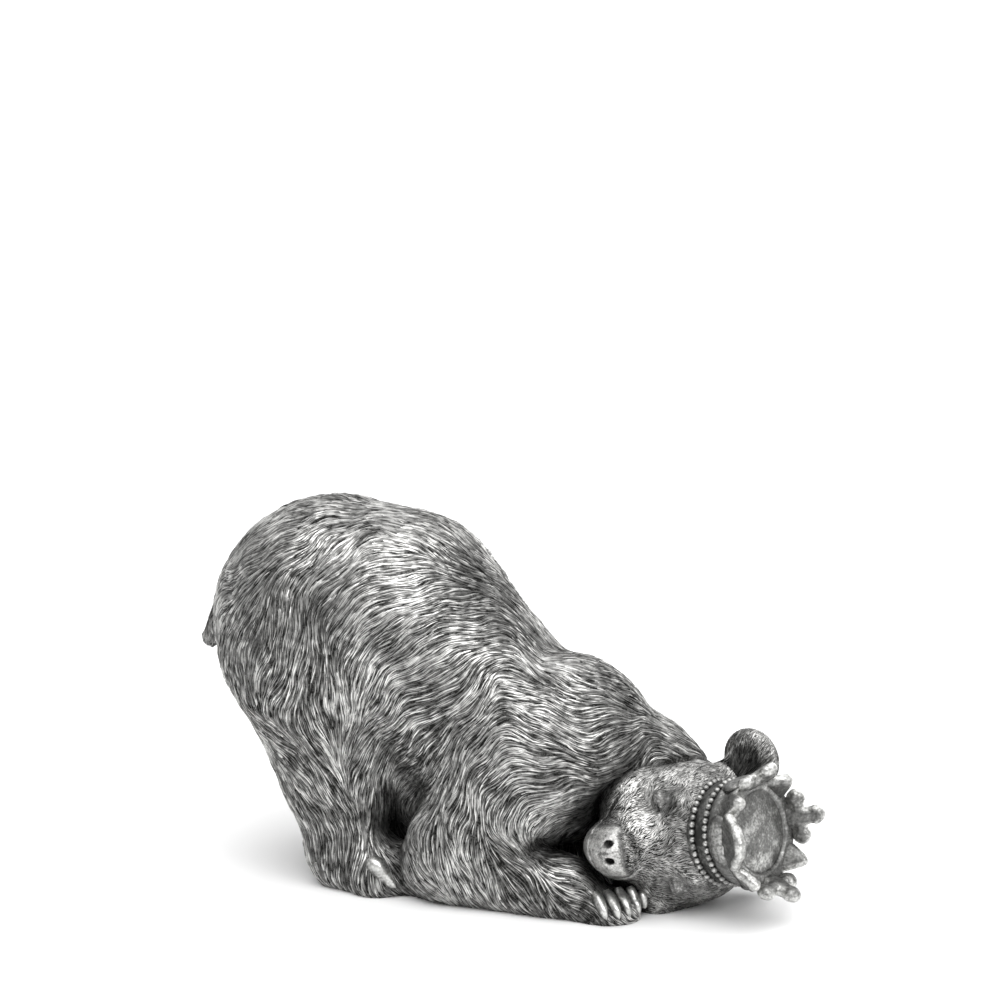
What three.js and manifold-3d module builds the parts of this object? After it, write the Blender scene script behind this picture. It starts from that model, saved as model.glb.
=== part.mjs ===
// Polar bear figurine in antique silver, cast in one piece with the crown it wears.
// The bear stands on its hind legs with its rump high, kneels on its elbows, and lays its
// head on its left cheek beside the right forepaw, with its face turned to its right.
// Millimetres, +Z up. +X runs from the tail to the crown, and -Y is the bear's right side.

import * as THREE from "three";
import { mergeVertices } from "three/addons/utils/BufferGeometryUtils.js";
import Module from "manifold-3d";

// Driving dimensions
const HEIGHT = 178; // top of the rump above the ground
const CROWN_RADIUS = 23.4; // band of the crown, outside
const CROWN_ROOT = 12; // how deep the crown reaches into the head
const CROWN_WALL = 16.5; // from the lower row of beads to the rim
const RIM_RADIUS = 24.8; // the band flares to this under the fleurons
const RIM_INSIDE = 19; // inner edge of the rim
const DISH_DEPTH = 2.2; // hollow of the smooth dish inside the rim
const CROWN_SIDES = 36; // facets round the crown
const BEAD_DIAMETER = 2.9;
const BEAD_GAP = 0.45; // between neighbouring beads
const BEAD_SINK = 0.5; // how far the middle of an eight-sided bead lies inside the band
const BEAD_ROW_HEIGHTS = [-5, 2.4]; // the two rows above the fur
const FLEURON_COUNT = 4;
const FLEURON_HEIGHT = 16; // from the rim to the tip of the middle lobe
const FLEURON_WIDTH = 26; // across the side lobes
const LOBE_DIAMETER = 9;
const SIDE_LOBE_DROP = 8; // side lobes below the middle one
const STEM_WIDTH = 11;
const POINT_HEIGHT = 9.5; // triangular points between the fleurons
const POINT_WIDTH = 14;
const LEAF_THICKNESS = 4.2; // fleurons and points
const LEAF_ROOT = 4; // how deep a leaf reaches into the rim
const LEAN = 0.46; // outward lean of fleurons and points, in radians
const FORE_CLAW_DIAMETER = 4.8;
const HIND_CLAW_DIAMETER = 6;
const LOCK_LENGTH = 34; // carved locks of fur
const LOCK_WIDTH = 12;
const LOCK_RELIEF = 2.4;
const LOCK_SPACING = 12;
const BODY_CELL = 2.8; // spacing of the grid on which the body is shaped
const HEAD_CELL = 1.9;
const BODY_TRIANGLES = 4750;
const HEAD_TRIANGLES = 1850;

// The pose below is written for a figure 178 mm high; crown and claws keep their own sizes
const POSE_HEIGHT = 178;
const SIZE = HEIGHT / POSE_HEIGHT;

// Vectors as plain arrays
const sub = (a, b) => [a[0] - b[0], a[1] - b[1], a[2] - b[2]];
const add = (a, b) => [a[0] + b[0], a[1] + b[1], a[2] + b[2]];
const times = (a, s) => [a[0] * s, a[1] * s, a[2] * s];
const dot = (a, b) => a[0] * b[0] + a[1] * b[1] + a[2] * b[2];
const cross = (a, b) => [
  a[1] * b[2] - a[2] * b[1],
  a[2] * b[0] - a[0] * b[2],
  a[0] * b[1] - a[1] * b[0],
];
const unit = (a) => times(a, 1 / (Math.hypot(...a) || 1));
const mirrored = (a) => [a[0], -a[1], a[2]];
const clamp = (v, low, high) => Math.min(high, Math.max(low, v));

// Distance fields: negative inside
function bone(from, to, fromRadius, toRadius) {
  const [ax, ay, az] = from;
  const [dx, dy, dz] = sub(to, from);
  const length2 = dx * dx + dy * dy + dz * dz;
  return (x, y, z) => {
    const px = x - ax;
    const py = y - ay;
    const pz = z - az;
    const t = clamp((px * dx + py * dy + pz * dz) / length2, 0, 1);
    const reach = Math.hypot(px - t * dx, py - t * dy, pz - t * dz);
    return reach - (fromRadius + t * (toRadius - fromRadius));
  };
}

function egg(centre, semi) {
  const [cx, cy, cz] = centre;
  const [a, b, c] = semi;
  return (x, y, z) => {
    const px = (x - cx) / a;
    const py = (y - cy) / b;
    const pz = (z - cz) / c;
    const k0 = Math.hypot(px, py, pz);
    const k1 = Math.hypot(px / a, py / b, pz / c) || 1e-9;
    return (k0 * (k0 - 1)) / k1;
  };
}

const blend = (a, b, k) => {
  const h = Math.max(k - Math.abs(a - b), 0) / k;
  return Math.min(a, b) - (h * h * k) / 4;
};
const carve = (a, b, k) => -blend(-a, b, k);

// Trunk and neck, down the middle of the body; the last two close the belly
const TRUNK = [
  { from: [-105, 0, 116], to: [-74, 0, 115], radii: [61, 56] },
  { from: [-74, 0, 115], to: [-8, 0, 68], radii: [56, 44] },
  { from: [-8, 0, 68], to: [18, 3, 74], radii: [44, 36] },
  { from: [18, 3, 74], to: [46, 22, 57], radii: [36, 25] },
  { from: [46, 22, 57], to: [66, 19, 43], radii: [25, 23] },
  { from: [-60, 0, 62], to: [-30, 0, 26], radii: [34, 24] },
  { from: [-60, 0, 62], to: [-62, 2, 27], radii: [34, 24] },
];
const TRUNK_BLEND = 8;

// Right legs; the left ones mirror them
const LEGS = [
  { from: [-106, -22, 104], to: [-86, -30, 56], radii: [41, 29] },
  { from: [-86, -30, 56], to: [-81, -36, 20], radii: [28, 18] },
  { from: [-77, -38, 13], to: [-60, -43, 8], radii: [17, 13] },
  { from: [-60, -36, 7], to: [-36, -30, 8], radii: [12, 12] },
  { from: [6, -15, 64], to: [-22, -33, 26], radii: [35, 22] },
  { from: [-24, -34, 17], to: [36, -29, 11], radii: [19, 14] },
  { from: [8, -16, 52], to: [22, -6, 46], radii: [31, 17] },
];
const LEG_BLEND = 10;
const TAIL = { from: [-140, -2, 122], to: [-174, -8, 103], radii: [14, 5] };
const PAWS = [
  { centre: [47, -22, 3], semi: [17, 18, 11] },
  { centre: [40, 28, 4], semi: [17, 16, 10] },
];

// Head frame: forward along the snout, up to the crown, and right, which is the upper cheek
const HEAD_CENTRE = [72.8, 11.4, 33];
const HEAD_UP = unit([0.953, -0.223, 0.204]);
const HEAD_RIGHT = unit(cross(unit([-0.2175, -0.976, -0.055]), HEAD_UP));
const HEAD_FORWARD = cross(HEAD_UP, HEAD_RIGHT);
const CROWN_SEAT = 29; // from the head centre up to the lower row of beads

const toHead = (point) => {
  const p = sub(point, HEAD_CENTRE);
  return [dot(p, HEAD_FORWARD), dot(p, HEAD_UP), dot(p, HEAD_RIGHT)];
};
const fromHead = (f, u, r) =>
  add(
    HEAD_CENTRE,
    add(times(HEAD_FORWARD, f), add(times(HEAD_UP, u), times(HEAD_RIGHT, r))),
  );

const cranium = egg([-4, 1, 0], [30, 31, 34]);
const cheek = egg([13, -13, 21], [21, 19, 17]);
const muzzle = bone([8, -4, 0], [38, -8, 0], 29, 14.5);
const jaw = bone([14, -14, 0], [38, -14, 0], 14, 10);
const nose = egg([46, -1, 0], [8, 7, 9]);
const nostril = egg([53, -2, 4], [3.5, 2, 1.4]);
const brow = egg([17, 16, 15], [8, 6, 8]);
const socket = egg([25, 12, 21], [5, 5, 6]);
const eyelid = egg([23.5, 10.5, 20], [3.2, 2.6, 4.2]);
const ear = egg([-27, 27, 27], [7, 14, 14]);
const earRoot = bone([-14, 16, 18], [-27, 27, 26], 11, 7);
const earHollow = egg([-18.5, 28, 28], [5, 12, 12]);
const foldedEar = egg([-28, 17, -22], [6, 11, 12]);
const FACE_TURN = 0.1; // sideways turn of the muzzle for each millimetre that it reaches forward

function headField(f, u, r) {
  const turned = r - FACE_TURN * clamp(f - 5, 0, 45);
  const side = Math.abs(turned);
  let d = cranium(f, u, r);
  d = blend(d, cheek(f, u, Math.abs(r)), 8);
  d = blend(d, muzzle(f, u, turned), 9);
  d = blend(d, jaw(f, u, turned), 4);
  d = blend(d, nose(f, u, turned), 2);
  d = blend(d, brow(f, u, side), 5);
  d = carve(d, nostril(f, u, side), 1.5);
  d = carve(d, socket(f, u, side), 3);
  d = blend(d, eyelid(f, u, side), 1);
  const uprightEar = blend(ear(f, u, r), earRoot(f, u, r), 3);
  d = blend(d, carve(uprightEar, earHollow(f, u, r), 2), 3);
  return blend(d, foldedEar(f, u, r), 3);
}

const asField = (part) => bone(part.from, part.to, ...part.radii);
const trunkFields = TRUNK.map(asField);
const legFields = LEGS.flatMap((leg) => [
  asField(leg),
  bone(mirrored(leg.from), mirrored(leg.to), ...leg.radii),
]);
const tailField = asField(TAIL);
const pawFields = PAWS.map((paw) => egg(paw.centre, paw.semi));
const SEAM_DEPTH = 3; // crease where the head lies against neck and paw
const SEAM_WIDTH = 4;

// Body and head in pose coordinates, each drawn in along the crease between them
function bothFields(x, y, z) {
  let d = trunkFields[0](x, y, z);
  for (const field of trunkFields.slice(1)) d = blend(d, field(x, y, z), TRUNK_BLEND);
  d = blend(d, tailField(x, y, z), 8);
  for (const field of legFields) d = blend(d, field(x, y, z), LEG_BLEND);
  for (const field of pawFields) d = blend(d, field(x, y, z), 5);
  const h = headField(...toHead([x, y, z]));
  const seam = SEAM_DEPTH * Math.exp(-(((d - h) / SEAM_WIDTH) ** 2));
  return [d + seam, h + seam];
}
const bodyPart = {
  field: (x, y, z) => bothFields(x, y, z)[0],
  low: [-192, -84, -10],
  high: [92, 84, 190],
  cell: BODY_CELL,
  triangles: BODY_TRIANGLES,
};
const headPart = {
  field: (x, y, z) => bothFields(x, y, z)[1],
  low: [14, -62, -14],
  high: [126, 62, 94],
  cell: HEAD_CELL,
  triangles: HEAD_TRIANGLES,
};

// Direction in which the fur lies: back along the trunk, down the flanks and legs,
// towards the paws on the forearms, and back over the head from the muzzle
const FLOWS = [
  { part: TRUNK[0], way: [-0.95, 0, -0.3], fall: 1.1 },
  { part: TRUNK[1], way: [-0.9, 0, 0.45], fall: 1.2 },
  { part: TRUNK[2], way: [-0.9, 0, 0.2], fall: 0.9 },
  { part: TRUNK[3], way: [-1, 0, 0.2], fall: 0.5 },
  { part: TRUNK[4], way: [-0.9, 0, 0.5], fall: 0.2 },
  { part: TAIL, way: [-0.8, -0.1, -0.6], fall: 0.6 },
  ...LEGS.flatMap((leg) => {
    const along = unit(sub(leg.to, leg.from));
    return [
      { part: leg, way: along, fall: 0.3 },
      {
        part: { from: mirrored(leg.from), to: mirrored(leg.to), radii: leg.radii },
        way: mirrored(along),
        fall: 0.3,
      },
    ];
  }),
].map((flow) => ({ ...flow, field: asField(flow.part) }));
const FLOW_REACH = 7; // how softly one direction passes into the next

function furDirection(p, normal) {
  let way = [0, 0, 0];
  const fields = FLOWS.map((flow) => flow.field(...p));
  const nearest = Math.min(...fields);
  FLOWS.forEach((flow, i) => {
    const weight = Math.exp(-(fields[i] - nearest) / FLOW_REACH);
    const down = flow.fall * (1 - clamp(normal[2], 0, 1) ** 2);
    way = add(way, times(add(flow.way, [0, 0, -down]), weight));
  });
  const [f, u, r] = toHead(p);
  if (headField(f, u, r) < nearest + 4) {
    const back = add(times(HEAD_FORWARD, -1), times(HEAD_UP, 0.5));
    way = add(back, times(HEAD_RIGHT, (0.6 * r) / 30));
  }
  way = sub(way, times(normal, dot(way, normal)));
  const turn =
    0.45 * Math.sin(p[0] * 0.047 + p[2] * 0.021 + 1.1) +
    0.4 * Math.sin(p[2] * 0.061 - p[1] * 0.033 + 0.4);
  const across = cross(normal, way);
  return unit(add(times(way, Math.cos(turn)), times(across, Math.sin(turn))));
}

// How strongly the fur is carved: bare on the muzzle pad, short on the head and paws
function furDepth(p) {
  const [f, u, r] = toHead(p);
  if (headField(f, u, r) > 5) return p[2] < 12 && p[0] > 36 ? 0.45 : 1;
  if (f < -18 && u > 14) return 0;
  return clamp((42 - f) / 60, 0.05, 0.4);
}

// A repeatable random sequence
function randomFrom(seed) {
  let state = seed;
  return () => {
    state = (state * 1664525 + 1013904223) % 4294967296;
    return state / 4294967296;
  };
}

// Mesh a field on a grid, with each cube of the grid split into six tetrahedra
const TETRAHEDRA = [
  [0, 5, 1, 7],
  [0, 1, 3, 7],
  [0, 3, 2, 7],
  [0, 2, 6, 7],
  [0, 6, 4, 7],
  [0, 4, 5, 7],
];

function shape({ field, low, high, cell }) {
  const count = low.map((from, i) => Math.ceil((high[i] - from) / cell) + 1);
  const [nx, ny, nz] = count;
  const index = (i, j, k) => i + nx * (j + ny * k);
  const place = (id) => [
    low[0] + cell * (id % nx),
    low[1] + cell * (Math.floor(id / nx) % ny),
    low[2] + cell * Math.floor(id / (nx * ny)),
  ];
  const values = new Float64Array(nx * ny * nz);
  for (let id = 0; id < values.length; id++) values[id] = field(...place(id)) || 1e-6;

  const points = [];
  const triangles = [];
  const crossings = new Map();
  const crossing = (a, b) => {
    const key = a < b ? a * values.length + b : b * values.length + a;
    if (!crossings.has(key)) {
      const t = clamp(values[a] / (values[a] - values[b]), 0.04, 0.96);
      const from = place(a);
      points.push(add(from, times(sub(place(b), from), t)));
      crossings.set(key, points.length - 1);
    }
    return crossings.get(key);
  };
  const face = (a, b, c, outside) => {
    const n = cross(sub(points[b], points[a]), sub(points[c], points[a]));
    if (dot(n, sub(outside, points[a])) > 0) triangles.push([a, b, c]);
    else triangles.push([a, c, b]);
  };
  for (let k = 0; k < nz - 1; k++) {
    for (let j = 0; j < ny - 1; j++) {
      for (let i = 0; i < nx - 1; i++) {
        const corners = [];
        for (let b = 0; b < 8; b++) {
          corners.push(index(i + (b & 1), j + ((b >> 1) & 1), k + (b >> 2)));
        }
        const inside = corners.filter((id) => values[id] < 0).length;
        if (inside === 0 || inside === 8) continue;
        for (const tetrahedron of TETRAHEDRA) {
          const ids = tetrahedron.map((corner) => corners[corner]);
          const within = ids.filter((id) => values[id] < 0);
          const without = ids.filter((id) => values[id] >= 0);
          if (within.length === 0 || without.length === 0) continue;
          const outside = place(without[0]);
          if (within.length === 1) {
            face(...without.map((id) => crossing(within[0], id)), outside);
          } else if (without.length === 1) {
            face(...within.map((id) => crossing(id, without[0])), outside);
          } else {
            const a = crossing(within[0], without[0]);
            const b = crossing(within[0], without[1]);
            const c = crossing(within[1], without[1]);
            const d = crossing(within[1], without[0]);
            face(a, b, c, outside);
            face(a, c, d, outside);
          }
        }
      }
    }
  }
  return keepLargest(points, triangles);
}

// Drop any loose crumb that the grid leaves beside the body
function keepLargest(points, triangles) {
  const parent = points.map((_, i) => i);
  const root = (i) => {
    while (parent[i] !== i) {
      parent[i] = parent[parent[i]];
      i = parent[i];
    }
    return i;
  };
  for (const [a, b, c] of triangles) {
    parent[root(a)] = root(b);
    parent[root(b)] = root(c);
  }
  const sizes = new Map();
  for (const [a] of triangles) sizes.set(root(a), (sizes.get(root(a)) || 0) + 1);
  const largest = [...sizes].sort((p, q) => q[1] - p[1])[0][0];
  return { points, triangles: triangles.filter(([a]) => root(a) === largest) };
}

// Outward direction at a point, from the distance field
function normalAt(field, [x, y, z]) {
  const e = 0.8;
  return unit([
    field(x + e, y, z) - field(x - e, y, z),
    field(x, y + e, z) - field(x, y - e, z),
    field(x, y, z + e) - field(x, y, z - e),
  ]);
}

// Carve locks of fur: each one rises from its root and ends in a raised tip
function carveFur(part, { points, triangles }) {
  const random = randomFrom(7);
  const used = [...new Set(triangles.flat())];
  const order = used.map((id) => [random(), id]).sort((a, b) => a[0] - b[0]);
  const cellOf = (p, size) => p.map((v) => Math.round(v / size));
  const seeds = new Map();
  const locks = [];
  for (const [, id] of order) {
    const p = points[id];
    const [ci, cj, ck] = cellOf(p, LOCK_SPACING);
    let free = true;
    for (let n = 0; n < 27 && free; n++) {
      const key = `${ci + (n % 3) - 1},${cj + (Math.floor(n / 3) % 3) - 1},${ck + Math.floor(n / 9) - 1}`;
      for (const other of seeds.get(key) || []) {
        if (Math.hypot(...sub(other, p)) < LOCK_SPACING) free = false;
      }
    }
    if (!free) continue;
    const key = `${ci},${cj},${ck}`;
    if (!seeds.has(key)) seeds.set(key, []);
    seeds.get(key).push(p);
    const depth = furDepth(p);
    if (depth < 0.2) continue;
    const normal = normalAt(part.field, p);
    const along = furDirection(p, normal);
    const scale = (0.8 + 0.4 * random()) * (depth < 1 ? 0.6 : 1);
    locks.push({
      p,
      normal,
      along,
      across: cross(normal, along),
      length: LOCK_LENGTH * scale,
      width: LOCK_WIDTH * scale,
      bend: (random() - 0.5) * 0.5,
      relief: LOCK_RELIEF * depth * (0.7 + 0.6 * random()),
    });
  }
  const bins = new Map();
  for (const lock of locks) {
    const middle = add(lock.p, times(lock.along, lock.length / 2));
    const key = cellOf(middle, LOCK_LENGTH).join();
    if (!bins.has(key)) bins.set(key, []);
    bins.get(key).push(lock);
  }
  const heightAt = (p) => {
    let height = 0;
    const [ci, cj, ck] = cellOf(p, LOCK_LENGTH);
    for (let n = 0; n < 27; n++) {
      const key = `${ci + (n % 3) - 1},${cj + (Math.floor(n / 3) % 3) - 1},${ck + Math.floor(n / 9) - 1}`;
      for (const lock of bins.get(key) || []) {
        const q = sub(p, lock.p);
        const t = dot(q, lock.along) / lock.length;
        if (t < 0 || t > 1 || Math.abs(dot(q, lock.normal)) > LOCK_WIDTH) continue;
        const swell = t < 0.5 ? (0.5 - t) / 0.55 : (t - 0.5) / 0.52;
        const half = (lock.width / 2) * Math.sqrt(1 - swell * swell);
        const s = dot(q, lock.across) - lock.bend * lock.length * t * t;
        if (Math.abs(s) > half) continue;
        const rise = (0.3 + 0.7 * t) * clamp((1 - t) / 0.12, 0, 1);
        height = Math.max(height, lock.relief * rise * (1 - (s / half) ** 2));
      }
    }
    return height;
  };
  const shifts = new Map();
  for (const id of used) {
    const depth = furDepth(points[id]);
    if (depth < 0.2) continue;
    const lift = heightAt(points[id]) - 0.35 * LOCK_RELIEF * depth;
    shifts.set(id, times(normalAt(part.field, points[id]), lift));
  }
  const moved = points.map((p, id) => (shifts.has(id) ? add(p, shifts.get(id)) : p));
  return { points: moved, triangles };
}

// Merge short and flat edges until the wanted number of triangles is left.
// Each edge costs the squared distance from the planes that met at its ends.
function simplify({ points, triangles }, wanted) {
  const p = points.map((q) => [...q]);
  const faces = triangles.map((t) => [...t]);
  const alive = faces.map(() => true);
  const around = p.map(() => new Set());
  faces.forEach((t, i) => t.forEach((v) => around[v].add(i)));
  const quadrics = p.map(() => new Float64Array(10));
  const planeOf = (t) => {
    const n = cross(sub(p[t[1]], p[t[0]]), sub(p[t[2]], p[t[0]]));
    return { n, area: Math.hypot(...n) };
  };
  for (const t of faces) {
    const { n, area } = planeOf(t);
    if (area < 1e-9) continue;
    const [a, b, c] = times(n, 1 / area);
    const d = -dot([a, b, c], p[t[0]]);
    const terms = [a * a, a * b, a * c, a * d, b * b, b * c, b * d, c * c, c * d, d * d];
    for (const v of t) terms.forEach((term, i) => (quadrics[v][i] += term * area));
  }
  const cost = (q, [x, y, z]) =>
    q[0] * x * x + 2 * q[1] * x * y + 2 * q[2] * x * z + 2 * q[3] * x +
    q[4] * y * y + 2 * q[5] * y * z + 2 * q[6] * y +
    q[7] * z * z + 2 * q[8] * z + q[9];
  const bestPlace = (a, b) => {
    const q = quadrics[a].map((v, i) => v + quadrics[b][i]);
    const middle = times(add(p[a], p[b]), 0.5);
    const rows = [
      [q[0], q[1], q[2]],
      [q[1], q[4], q[5]],
      [q[2], q[5], q[7]],
    ];
    const right = [-q[3], -q[6], -q[8]];
    const minor = cross(rows[1], rows[2]);
    const determinant = dot(rows[0], minor);
    let place = middle;
    if (Math.abs(determinant) > 1e-4 * (q[0] + q[4] + q[7]) ** 3) {
      const solved = times(
        add(
          times(minor, right[0]),
          add(times(cross(rows[2], rows[0]), right[1]), times(cross(rows[0], rows[1]), right[2])),
        ),
        1 / determinant,
      );
      if (Math.hypot(...sub(solved, middle)) < 2 * BODY_CELL) place = solved;
    }
    return { place, price: Math.max(0, cost(q, place)) };
  };
  const neighbours = (v) => {
    const set = new Set();
    for (const i of around[v]) for (const w of faces[i]) if (w !== v) set.add(w);
    return set;
  };

  // Priority queue of edges, cheapest first
  const heap = [];
  const stamps = p.map(() => 0);
  const swap = (i, j) => ([heap[i], heap[j]] = [heap[j], heap[i]]);
  const push = (item) => {
    heap.push(item);
    let i = heap.length - 1;
    while (i > 0 && heap[(i - 1) >> 1].price > heap[i].price) {
      swap(i, (i - 1) >> 1);
      i = (i - 1) >> 1;
    }
  };
  const pop = () => {
    const first = heap[0];
    const last = heap.pop();
    if (heap.length === 0) return first;
    heap[0] = last;
    for (let i = 0; ; ) {
      let child = 2 * i + 1;
      if (child >= heap.length) break;
      if (child + 1 < heap.length && heap[child + 1].price < heap[child].price) child++;
      if (heap[child].price >= heap[i].price) break;
      swap(i, child);
      i = child;
    }
    return first;
  };
  const offer = (a, b) => {
    const { place, price } = bestPlace(a, b);
    const stretch = 1e-3 * Math.hypot(...sub(p[a], p[b]));
    push({ a, b, place, price: price + stretch, stamp: stamps[a] + stamps[b] });
  };
  const offerAll = () => {
    faces.forEach((t, i) => {
      if (!alive[i]) return;
      for (let e = 0; e < 3; e++) if (t[e] < t[(e + 1) % 3]) offer(t[e], t[(e + 1) % 3]);
    });
  };

  let left = faces.length;
  const describe = (corners) => {
    const normal = cross(sub(corners[1], corners[0]), sub(corners[2], corners[0]));
    const size = Math.hypot(...normal);
    const sides = corners.map((q, e) => Math.hypot(...sub(q, corners[(e + 1) % 3])));
    return { normal, size, roundness: size / Math.max(...sides) ** 2 };
  };
  const keepsShape = (a, b, place) => {
    for (const i of around[a]) {
      const t = faces[i];
      if (t.includes(b)) continue;
      const before = describe(t.map((v) => p[v]));
      const after = describe(t.map((v) => (v === a ? place : p[v])));
      if (after.roundness < 0.05 && after.roundness < before.roundness) return false;
      if (dot(before.normal, after.normal) < 0.2 * before.size * after.size) return false;
    }
    return true;
  };
  let stalled = 0;
  while (left > wanted && stalled < 8) {
    if (heap.length === 0) {
      offerAll();
      stalled++;
    }
    const { a, b, place: best, stamp } = pop();
    if (stamp !== stamps[a] + stamps[b] || around[a].size === 0 || around[b].size === 0) continue;
    const shared = [...around[a]].filter((i) => around[b].has(i));
    if (shared.length !== 2) continue;
    const near = neighbours(a);
    const common = [...neighbours(b)].filter((v) => near.has(v));
    if (common.length !== 2) continue;
    const place = [best, times(add(p[a], p[b]), 0.5), p[a], p[b]].find(
      (q) => keepsShape(a, b, q) && keepsShape(b, a, q),
    );
    if (!place) continue;
    p[a] = place;
    quadrics[b].forEach((v, i) => (quadrics[a][i] += v));
    for (const i of shared) {
      alive[i] = false;
      faces[i].forEach((v) => around[v].delete(i));
      left--;
    }
    for (const i of around[b]) {
      faces[i] = faces[i].map((v) => (v === b ? a : v));
      around[a].add(i);
    }
    around[b].clear();
    stamps[a] += 1;
    for (const v of neighbours(a)) {
      offer(a, v);
    }
  }
  return { points: p, triangles: faces.filter((_, i) => alive[i]) };
}

// Joining and cutting of closed bodies
const wasm = await Module();
wasm.setup();
const { Manifold, Mesh } = wasm;

function solidFromArrays(points, triangles) {
  const number = new Map();
  const vertices = [];
  const faces = triangles.flat().map((id) => {
    if (!number.has(id)) {
      number.set(id, number.size);
      vertices.push(...points[id]);
    }
    return number.get(id);
  });
  return new Manifold(
    new Mesh({
      numProp: 3,
      vertProperties: new Float32Array(vertices),
      triVerts: new Uint32Array(faces),
    }),
  );
}

function solidFromGeometry(geometry) {
  const bare = new THREE.BufferGeometry();
  bare.setAttribute("position", geometry.getAttribute("position").clone());
  if (geometry.index) bare.setIndex(geometry.index.clone());
  const merged = mergeVertices(bare, 1e-4);
  const position = merged.getAttribute("position");
  const faces = [];
  for (let i = 0; i < merged.index.count; i += 3) {
    const t = [merged.index.getX(i), merged.index.getX(i + 1), merged.index.getX(i + 2)];
    if (t[0] !== t[1] && t[1] !== t[2] && t[2] !== t[0]) faces.push(t);
  }
  const points = [];
  for (let i = 0; i < position.count; i++) {
    points.push([position.getX(i), position.getY(i), position.getZ(i)]);
  }
  return solidFromArrays(points, faces);
}

// Crown frame: X to the front fleuron, Y across the head and Z along the crown
const crownMatrix = new THREE.Matrix4().makeBasis(
  new THREE.Vector3(...HEAD_FORWARD),
  new THREE.Vector3(...cross(HEAD_UP, HEAD_FORWARD)),
  new THREE.Vector3(...HEAD_UP),
);
crownMatrix.setPosition(new THREE.Vector3(...times(fromHead(0, CROWN_SEAT, 0), SIZE)));

function bandSolid() {
  const rimTop = CROWN_WALL;
  const profile = [
    [0, -CROWN_ROOT],
    [CROWN_RADIUS - 2, -CROWN_ROOT],
    [CROWN_RADIUS, BEAD_ROW_HEIGHTS[0] - BEAD_DIAMETER],
    [CROWN_RADIUS, BEAD_ROW_HEIGHTS[1] + BEAD_DIAMETER / 2],
    [RIM_RADIUS, rimTop - 3],
    [RIM_RADIUS, rimTop],
    [RIM_INSIDE, rimTop],
    [RIM_INSIDE - 1, rimTop - 1.4],
    [0, rimTop - DISH_DEPTH],
  ];
  const lathe = new THREE.LatheGeometry(
    profile.map(([r, z]) => new THREE.Vector2(r, z)),
    CROWN_SIDES,
  );
  lathe.rotateX(Math.PI / 2);
  return solidFromGeometry(lathe);
}

function beadSolids() {
  const solids = [];
  const ring = CROWN_RADIUS - BEAD_SINK;
  const count = Math.round((2 * Math.PI * ring) / (BEAD_DIAMETER + BEAD_GAP));
  BEAD_ROW_HEIGHTS.forEach((height, row) => {
    for (let i = 0; i < count; i++) {
      const angle = ((i + row / 2) / count) * 2 * Math.PI;
      const bead = new THREE.OctahedronGeometry(BEAD_DIAMETER / 2 + BEAD_SINK, 0);
      bead.rotateZ(angle);
      bead.translate(ring * Math.cos(angle), ring * Math.sin(angle), height);
      solids.push(solidFromGeometry(bead));
    }
  });
  return solids;
}

// A leaf stands on the rim, facing along the radius, and leans outwards
function leafMatrix(angle) {
  return new THREE.Matrix4()
    .makeRotationZ(angle)
    .multiply(
      new THREE.Matrix4().makeTranslation(
        (RIM_INSIDE + RIM_RADIUS) / 2,
        0,
        CROWN_WALL - LEAF_ROOT * Math.cos(LEAN),
      ),
    )
    .multiply(new THREE.Matrix4().makeRotationY(LEAN));
}

function slab(outline, depth) {
  const shape = new THREE.Shape(outline.map(([across, up]) => new THREE.Vector2(across, up)));
  const geometry = new THREE.ExtrudeGeometry(shape, { depth, bevelEnabled: false });
  geometry.translate(0, 0, -depth / 2);
  geometry.rotateX(Math.PI / 2);
  geometry.rotateZ(Math.PI / 2);
  return geometry;
}

function fleuronSolid() {
  const lobe = LOBE_DIAMETER / 2;
  const top = LEAF_ROOT + FLEURON_HEIGHT;
  const sideHeight = top - lobe - SIDE_LOBE_DROP;
  const sideReach = FLEURON_WIDTH / 2 - lobe;
  const stem = slab(
    [
      [-STEM_WIDTH / 2, 0],
      [STEM_WIDTH / 2, 0],
      [STEM_WIDTH / 2, sideHeight - lobe],
      [sideReach, sideHeight - lobe / 2],
      [lobe * 0.6, top - lobe],
      [-lobe * 0.6, top - lobe],
      [-sideReach, sideHeight - lobe / 2],
      [-STEM_WIDTH / 2, sideHeight - lobe],
    ],
    LEAF_THICKNESS,
  );
  const round = (across, up) => {
    const disc = new THREE.CylinderGeometry(lobe, lobe, LEAF_THICKNESS + 0.8, 12);
    disc.rotateZ(Math.PI / 2);
    disc.translate(0, across, up);
    return solidFromGeometry(disc);
  };
  return Manifold.union([
    solidFromGeometry(stem),
    round(-sideReach, sideHeight),
    round(sideReach, sideHeight),
    round(0, top - lobe),
  ]);
}

function pointSolid() {
  const outline = [
    [-POINT_WIDTH / 2, 0],
    [POINT_WIDTH / 2, 0],
    [POINT_WIDTH / 2, LEAF_ROOT],
    [1.2, LEAF_ROOT + POINT_HEIGHT],
    [-1.2, LEAF_ROOT + POINT_HEIGHT],
    [-POINT_WIDTH / 2, LEAF_ROOT],
  ];
  return solidFromGeometry(slab(outline, LEAF_THICKNESS));
}

function crownSolid() {
  const pieces = [bandSolid(), ...beadSolids()];
  for (let i = 0; i < FLEURON_COUNT; i++) {
    const angle = (i / FLEURON_COUNT) * 2 * Math.PI;
    const between = angle + Math.PI / FLEURON_COUNT;
    pieces.push(fleuronSolid().transform(leafMatrix(angle).elements));
    pieces.push(pointSolid().transform(leafMatrix(between).elements));
  }
  return Manifold.union(pieces).transform(crownMatrix.elements);
}

// Claws: five on the right forepaw that shows, and one on each hind paw
const FORE_CLAWS = { first: [49, -32, 12], step: [3, 6.6, -0.2], drop: [5, -1.6, -10.5], count: 5 };
const HIND_CLAW = { from: [-63, -42, 12], to: [-49, -46, 3] };

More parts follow.
